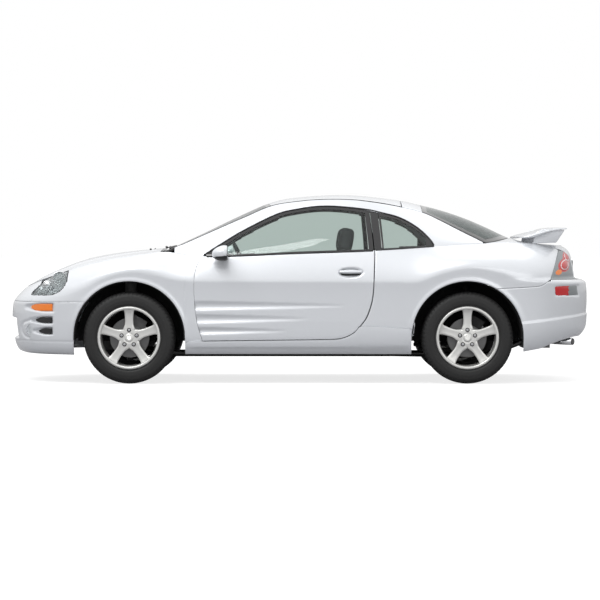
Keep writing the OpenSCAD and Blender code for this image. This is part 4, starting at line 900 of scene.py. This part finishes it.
for end, hx in (("front", FX), ("rear", RX)):
    for side, sgn in (("left", 1), ("right", -1)):
        tag = f"{end}_{side}"
        body = f"wheel_{tag}"
        def place(v, hx=hx, sgn=sgn):
            return np.array([v[0] + hx * 1000, sgn * (v[1] - 738), v[2] + 334])
        t = spin(f"tyre_body_{tag}", tyre_prof if sgn > 0 else tyre_prof[::-1], 512, body, RUBBER, tread, place)
        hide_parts(f"tyre_{tag}")
        rim = spin(f"rim_{tag}", rim_prof[::sgn], 120, body, ALLOY, None, place)
        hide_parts(f"wheel_{tag}")
        parts = []
        for k in range(5):
            v, f = spoke_mesh("s", k, body, place)
            parts.append((v, f if sgn > 0 else [x[::-1] for x in f]))
        join_meshes(f"spokes_{tag}", parts, body, ALLOY)
        hub = dense([(0, 82), (24, 82), (29, 80.5), (31, 77), (33, 77), (40, 80), (66, 78), (76, 70), (80, 50), (80, 44), (30, 44), (26, 44)], 44)
        spin(f"hub_{tag}", hub[::sgn], 72, body, ALLOY, None, place)
        cap = [(0, 84.6), (21, 84.4), (25, 83.6), (26.5, 81), (26.5, 76), (0, 76)]
        spin(f"centre_cap_{tag}", cap[::sgn], 60, body, ALLOY, None, place)
        nuts = []
        for k in range(5):
            a = math.radians(72 * k)
            c0 = np.array([57.15 * math.sin(a), 0, 57.15 * math.cos(a)])
            # The wider ring round each nut is black: painted shade for the recess the nut sits in, not a black part of
            # the wheel.
            for r0, w0, w1, n, dark in ((15.5, 73, 82.2, 28, True), (9.6, 74, 85, 6, False)):
                ring = [c0 + [r0 * math.cos(2 * math.pi * i / n), -w, r0 * math.sin(2 * math.pi * i / n)] for w in (w0, w1 - 1.2) for i in range(n)]
                ring += [c0 + [0.82 * r0 * math.cos(2 * math.pi * i / n), -w1, 0.82 * r0 * math.sin(2 * math.pi * i / n)] for i in range(n)]
                F = [(s * n + i, (s + 1) * n + i, (s + 1) * n + (i + 1) % n, s * n + (i + 1) % n) for s in (0, 1) for i in range(n)] + [tuple(2 * n + i for i in range(n))[::-1]]
                if sgn < 0: F = [x[::-1] for x in F]
                nuts.append(([place(p) for p in ring], F, dark))
        for nm, dark, mat in (("nut_seats", True, BLACK), ("wheel_nuts", False, CHROME)):
            ob = join_meshes(f"{nm}_{tag}", [(v, f) for v, f, d in nuts if d == dark], body, mat)
            ob.data.polygons.foreach_set("use_smooth", [False] * len(ob.data.polygons))
        disc = dense([(60, 46), (78, 44), (80, 12), (82, 11.5), (143, 11.5), (145, 10), (145, -6), (143, -7.5), (60, -7.5)], 40)
        spin(f"brake_disc_{tag}", disc[::sgn], 120, body, STEEL, None, place)

# %% [markdown]
# ## Mirrors, wipers, seals and small trim
# The mirror shell is a smooth pod on a short foot. Its glass faces rearward.

# %% mirrors and trim
for s, side in ((-1, "left"), (1, "right")):
    bpy.ops.mesh.primitive_uv_sphere_add(segments=72, ring_count=48, radius=1)
    m = bpy.context.object
    m.name = f"mirror_shell_{side}"
    for v in m.data.vertices:
        a = v.co
        bx = -545 + (82 if a.x < 0 else 52) * a.x
        by = s * (902 + 80 * abs(a.y) ** 0.85 * (1 if a.y > 0 else -1))
        bz = 948 + 56 * abs(a.z) ** 0.85 * (1 if a.z > 0 else -1) * (1 + 0.12 * a.x) - 8 * (a.x < 0) * abs(a.x)
        bx = min(bx, -514)
        v.co = Vector((bx, by, bz)) * MM
    for p in m.data.polygons: p.use_smooth = True
    m.data.materials.append(PAINT); m.data.materials.append(BLACK)
    # The lower part of the shell takes the black trim as painted shade under the pod; the black on the rear face round
    # the glass is the mirror's bezel.
    for p in m.data.polygons:
        if p.center.z < 0.928 + 0.12 * (p.center.x + 0.545) or (p.center.x > -0.518 and (abs(p.center.y) - 0.902) ** 2 / 0.07 ** 2 + (p.center.z - 0.95) ** 2 / 0.05 ** 2 > 1): p.material_index = 1
    if s > 0: m.data.flip_normals()
    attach(m, f"door_{side}"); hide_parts(f"mirror_{side}")
    bpy.ops.mesh.primitive_uv_sphere_add(segments=48, ring_count=16, radius=1, location=(-0.5135, s * 0.905, 0.951))
    g = bpy.context.object
    g.name = f"mirror_glass_{side}"
    g.scale = (0.002, 0.064, 0.044)
    bpy.ops.object.transform_apply(location=True, scale=True)
    g.data.materials.append(CHROME)
    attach(g, f"door_{side}")
    tube(f"mirror_foot_{side}", [(-585, s * 789, 935), (-582, s * 806, 936), (-575, s * 830, 938), (-568, s * 860, 940)], [20, 19, 17, 15], f"door_{side}", BLACK, ring=20, flat=0.7)
    belt = [(x, s * (float(half(x, sp(EDGE_Z, x) - 1)) + 1), float(sp(EDGE_Z, x)) - 2) for x in np.linspace(-670, 538, 60)]
    tube(f"belt_seal_{side}", belt, 5, f"door_{side}", BLACK, ring=8, flat=1.3)
    belt = [(x, s * (float(half(x, sp(EDGE_Z, x))) + 0.5), float(sp(EDGE_Z, x)) + 1) for x in np.linspace(556, 978, 24)]
    tube(f"rear_belt_seal_{side}", belt, 4, "root", BLACK, ring=8, flat=1.3)
    top = [(x, s * (float(half(x, sp(WINDOW_Z, x) + 4)) + 0.5), float(sp(WINDOW_Z, x)) + 3) for x in np.r_[np.linspace(-690, -150, 40), np.linspace(-140, 980, 60)]]
    tube(f"window_seal_{side}", top, 5, "root", BLACK, ring=8)
    gut = [(x, s * (float(sp(RAIL_Y, x)) - 0.5), float(sp(RAIL_Z, x)) - 1) for x in np.linspace(-860, 748, 90)]
    tube(f"roof_seal_{side}", gut, 2.6, "root", BLACK, ring=8)

for nm, y0, L in (("left", -560, 600), ("right", 60, 540)):
    a = np.array([-968, y0, 985]); b = np.array([-935, y0 + L, 1003])
    pts = [a, a + [-4, 30, 10], a + [4, 120, 14], (a + b) / 2 + [-10, 0, 12], b + [0, -60, 6], b]
    for p in pts[2:]: p[2] = float(top_z(p[0], p[1])) + 12 if p[0] > -950 else float(top_z(-950, p[1])) + 10
    tube(f"wiper_arm_{nm}", pts, [9, 8, 6, 5, 4, 3], "root", BLACK, ring=10, flat=0.6)
    bl = [(x, y, float(top_z(max(x, -950), y)) + 6) for x, y in zip(np.linspace(-952, -925, 30), np.linspace(y0 + 90, y0 + L + 40, 30))]
    tube(f"wiper_blade_{nm}", bl, 4, "root", BLACK, ring=8, flat=1.6)
for s, side in ((-1, "left"), (1, "right")):
    tube(f"washer_jet_{side}", [(-1098, s * 330, float(sp(HOOD_LINE, -1098)) - 12), (-1098, s * 330, float(sp(HOOD_LINE, -1098)) + 1), (-1094, s * 330, float(sp(HOOD_LINE, -1098)) + 4)], [9, 8, 5], "hood", BLACK, ring=12)
    y = float(half(-1840, 552)) - 18
    for nm, cz, h, xa, xb, mat, sl in (("turn_lamp", 552, 26, -1962, -1796, AMBER, "lamp_red"), ("upper_vent", 459, 19, -1925, -1800, BLACK, "black_plastic"), ("lower_vent", 378, 19, -1900, -1800, BLACK, "black_plastic")):
        Xv = edges(xa, xb, 30)
        g = np.stack([np.repeat(Xv[:, None], 15, 1), -(half(Xv[:, None], cz + np.linspace(-h, h, 15)[None] * np.clip((Xv[:, None] - xa) / 60 + 0.35, 0, 1)) - (11 if mat is AMBER else 15)), cz + np.linspace(-h, h, 15)[None] * np.clip((Xv[:, None] - xa) / 60 + 0.35, 0, 1)], 2)
        panel(f"{nm}_{side}", g if s < 0 else mirrored(g), 6, "root", mat, edge=2, slot=sl)
    bpy.ops.mesh.primitive_uv_sphere_add(segments=40, ring_count=20, radius=1, location=(-1.972, s * 0.56, 0.388))
    f = bpy.context.object; f.name = f"fog_lamp_{side}"; f.scale = (0.012, 0.055, 0.040)
    f.rotation_euler = (0, 0, s * 0.42)
    bpy.ops.object.transform_apply(location=True, rotation=True, scale=True)
    for p in f.data.polygons: p.use_smooth = True
    f.data.materials.append(LENS)
    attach(f, "root")
tip = [(1880, -470, 301), (1930, -500, 300), (2006, -548, 299)]
tube("exhaust_tip", tip, [25, 26, 27], "root", CHROME, ring=40)
tube("exhaust_mouth", [(2006.3, -548.2, 299), (2008, -549.3, 299)], [23, 22], "root", BLACK, ring=40)

# %% [markdown]
# ## Seats
# A car seat is foam under stretched cloth. A closed block is inflated a little with the cloth
# solver, pinned at its base, so that the cover swells and creases as a padded piece does.

# %% seats
def cushion(name, pos, size, body, rot=0.0, push=4.0):
    bpy.ops.mesh.primitive_cube_add(size=1)
    o = bpy.context.object
    o.name = name
    o.scale = size
    bpy.ops.object.transform_apply(scale=True)
    b = o.modifiers.new("b", "BEVEL"); b.width = min(size) * 0.3; b.segments = 3
    r = o.modifiers.new("r", "REMESH"); r.mode = "VOXEL"; r.voxel_size = 0.016
    bpy.context.view_layer.objects.active = o
    for m in ("b", "r"):
        bpy.ops.object.modifier_apply(modifier=m)
    co = np.array([v.co for v in o.data.vertices])
    vg = o.vertex_groups.new(name="pin")
    low = co[:, 2] < co[:, 2].min() + 0.012
    seam = np.abs(np.abs(co[:, 1]) - size[1] * 0.27) < 0.009
    vg.add([int(i) for i in np.where(low | seam)[0]], 1.0, "REPLACE")
    c = o.modifiers.new("c", "CLOTH")
    c.settings.use_pressure = True
    c.settings.uniform_pressure_force = push
    c.settings.effector_weights.gravity = 0
    c.settings.vertex_group_mass = "pin"
    c.settings.quality = 4
    c.settings.tension_stiffness = 25
    c.settings.compression_stiffness = 25
    for f in range(1, 13):
        bpy.context.scene.frame_set(f)
    dg = bpy.context.evaluated_depsgraph_get()
    new = np.array([v.co for v in o.evaluated_get(dg).data.vertices])
    o.modifiers.remove(c)
    move = new - co
    ln = np.linalg.norm(move, axis=1, keepdims=True)
    cap = 0.014
    new = co + move * np.minimum(1, cap / np.maximum(ln, 1e-9))
    o.data.vertices.foreach_set("co", new.ravel())
    bpy.context.scene.frame_set(1)
    for p in o.data.polygons: p.use_smooth = True
    o.rotation_euler = (0, rot, 0)
    o.location = pos
    bpy.ops.object.transform_apply(location=True, rotation=True)
    o.data.materials.append(SEAT)
    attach(o, body)
    return o

for s, side in ((-1, "left"), (1, "right")):
    y = s * 0.37
    cushion(f"seat_base_{side}", (-0.075, y, 0.385), (0.47, 0.44, 0.15), "root", -0.12)
    cushion(f"seat_back_{side}", (0.215, y, 0.68), (0.13, 0.44, 0.56), "root", 0.32)
    cushion(f"head_rest_{side}", (0.345, y, 1.045), (0.11, 0.25, 0.17), "root", 0.16)
    for k in (-0.06, 0.06):
        tube(f"head_rest_post_{side}_{'a' if k < 0 else 'b'}", [(292, y * 1000 + k * 1000, 900), (330, y * 1000 + k * 1000, 985)], 6, "root", STEEL, ring=12)
cushion("rear_bench", (0.592, 0, 0.36), (0.18, 0.93, 0.17), "root", -0.05)
cushion("rear_backrest", (0.795, 0, 0.66), (0.10, 0.86, 0.40), "root", 0.38)
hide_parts("front_seats")
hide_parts("rear_seat")

tube("steering_rim", [(-400 + 0.438 * 178 * math.cos(w), -370 + 178 * math.sin(w), 850 - 0.899 * 178 * math.cos(w)) for w in np.linspace(0, 2 * math.pi, 61)[:-1]], 14, "root", BLACK, closed=True)
frame["nodes"]["steering_wheel"].data.materials[0] = BLACK

# %% [markdown]
# ## Stage
# A plain pale floor, a large soft key light from the upper left, a fill, and a long lens at
# hub-to-mirror height, looking square at the left side.

# %% stage
def seen_and_lit(tree, seen, lit):
    """The camera sees one shader, and everything else is lit by the other."""
    path, both = tree.nodes.new("ShaderNodeLightPath"), tree.nodes.new("ShaderNodeMixShader")
    tree.links.new(path.outputs["Is Camera Ray"], both.inputs[0])
    tree.links.new(lit, both.inputs[1])
    tree.links.new(seen, both.inputs[2])
    return both.outputs[0]

bpy.ops.mesh.primitive_plane_add(size=400, location=(0, 0, -0.0005))
floor = bpy.context.object
floor.name = "floor"
floor_mat = material("floor_paint", (0.30, 0.30, 0.31), 0.9)
tree = floor_mat.node_tree
soft = tree.nodes.new("ShaderNodeAddShader")
glow = tree.nodes.new("ShaderNodeEmission")
glow.inputs["Strength"].default_value = 0.78
pale = tree.nodes.new("ShaderNodeBsdfDiffuse")
pale.inputs["Color"].default_value = (0.35, 0.35, 0.35, 1)
tree.links.new(glow.outputs[0], soft.inputs[0])
tree.links.new(pale.outputs[0], soft.inputs[1])
out = tree.nodes["Material Output"]
tree.links.new(seen_and_lit(tree, soft.outputs[0], tree.nodes["Principled BSDF"].outputs[0]), out.inputs["Surface"])
floor.data.materials.append(floor_mat)
floor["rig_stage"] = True

world = bpy.data.worlds.new("studio")
bpy.context.scene.world = world
world.use_nodes = True
tree = world.node_tree
sky = tree.nodes["Background"]
where, split = tree.nodes.new("ShaderNodeTexCoord"), tree.nodes.new("ShaderNodeSeparateXYZ")
ramp = tree.nodes.new("ShaderNodeMapRange")
ramp.inputs["From Min"].default_value, ramp.inputs["From Max"].default_value = 0.0, 0.55
ramp.inputs["To Min"].default_value, ramp.inputs["To Max"].default_value = 0.62, 1.1
tree.links.new(where.outputs["Generated"], split.inputs[0])
tree.links.new(split.outputs["Z"], ramp.inputs["Value"])
tree.links.new(ramp.outputs["Result"], sky.inputs["Strength"])
plain = tree.nodes.new("ShaderNodeBackground")
plain.inputs["Color"].default_value = (1, 1, 1, 1)
sky.inputs["Color"].default_value = (1, 1, 1, 1)
tree.links.new(seen_and_lit(tree, plain.outputs[0], sky.outputs[0]), tree.nodes["World Output"].inputs["Surface"])

def light(name, loc, target, size, power, sy=None):
    d = bpy.data.lights.new(name, "AREA")
    d.shape = "RECTANGLE"
    d.size, d.size_y, d.energy = size, sy or size, power
    o = bpy.data.objects.new(name, d)
    bpy.context.scene.collection.objects.link(o)
    o.location = loc
    o.rotation_euler = (Vector(target) - Vector(loc)).to_track_quat("-Z", "Y").to_euler()
    o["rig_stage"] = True
light("key", (-3.0, -5.0, 7.0), (0, 0, 0.5), 6, 330, 3)
light("fill", (4.0, -7.0, 2.2), (0, 0, 0.7), 5, 40, 2)
light("top", (0, 1.0, 6.0), (0, 0, 1.0), 8, 90, 4)

cam = bpy.data.cameras.new("camera")
cam.lens, cam.sensor_width = 166.1, 36
co = bpy.data.objects.new("camera", cam)
bpy.context.scene.collection.objects.link(co)
co.location = (0.0075, -20.85, 1.0)
co.rotation_euler = (Vector((0.0075, -0.85, 0.609)) - co.location).to_track_quat("-Z", "Y").to_euler()
bpy.context.scene.camera = co
bpy.context.scene.view_settings.view_transform = "Standard"

tris = {}
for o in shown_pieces():
    if o.type == "MESH" and "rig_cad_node" not in o:
        tris[o.name] = sum(len(p.vertices) - 2 for p in o.data.polygons)
print("triangles added", sum(tris.values()), sorted(tris.items(), key=lambda kv: -kv[1])[:6])
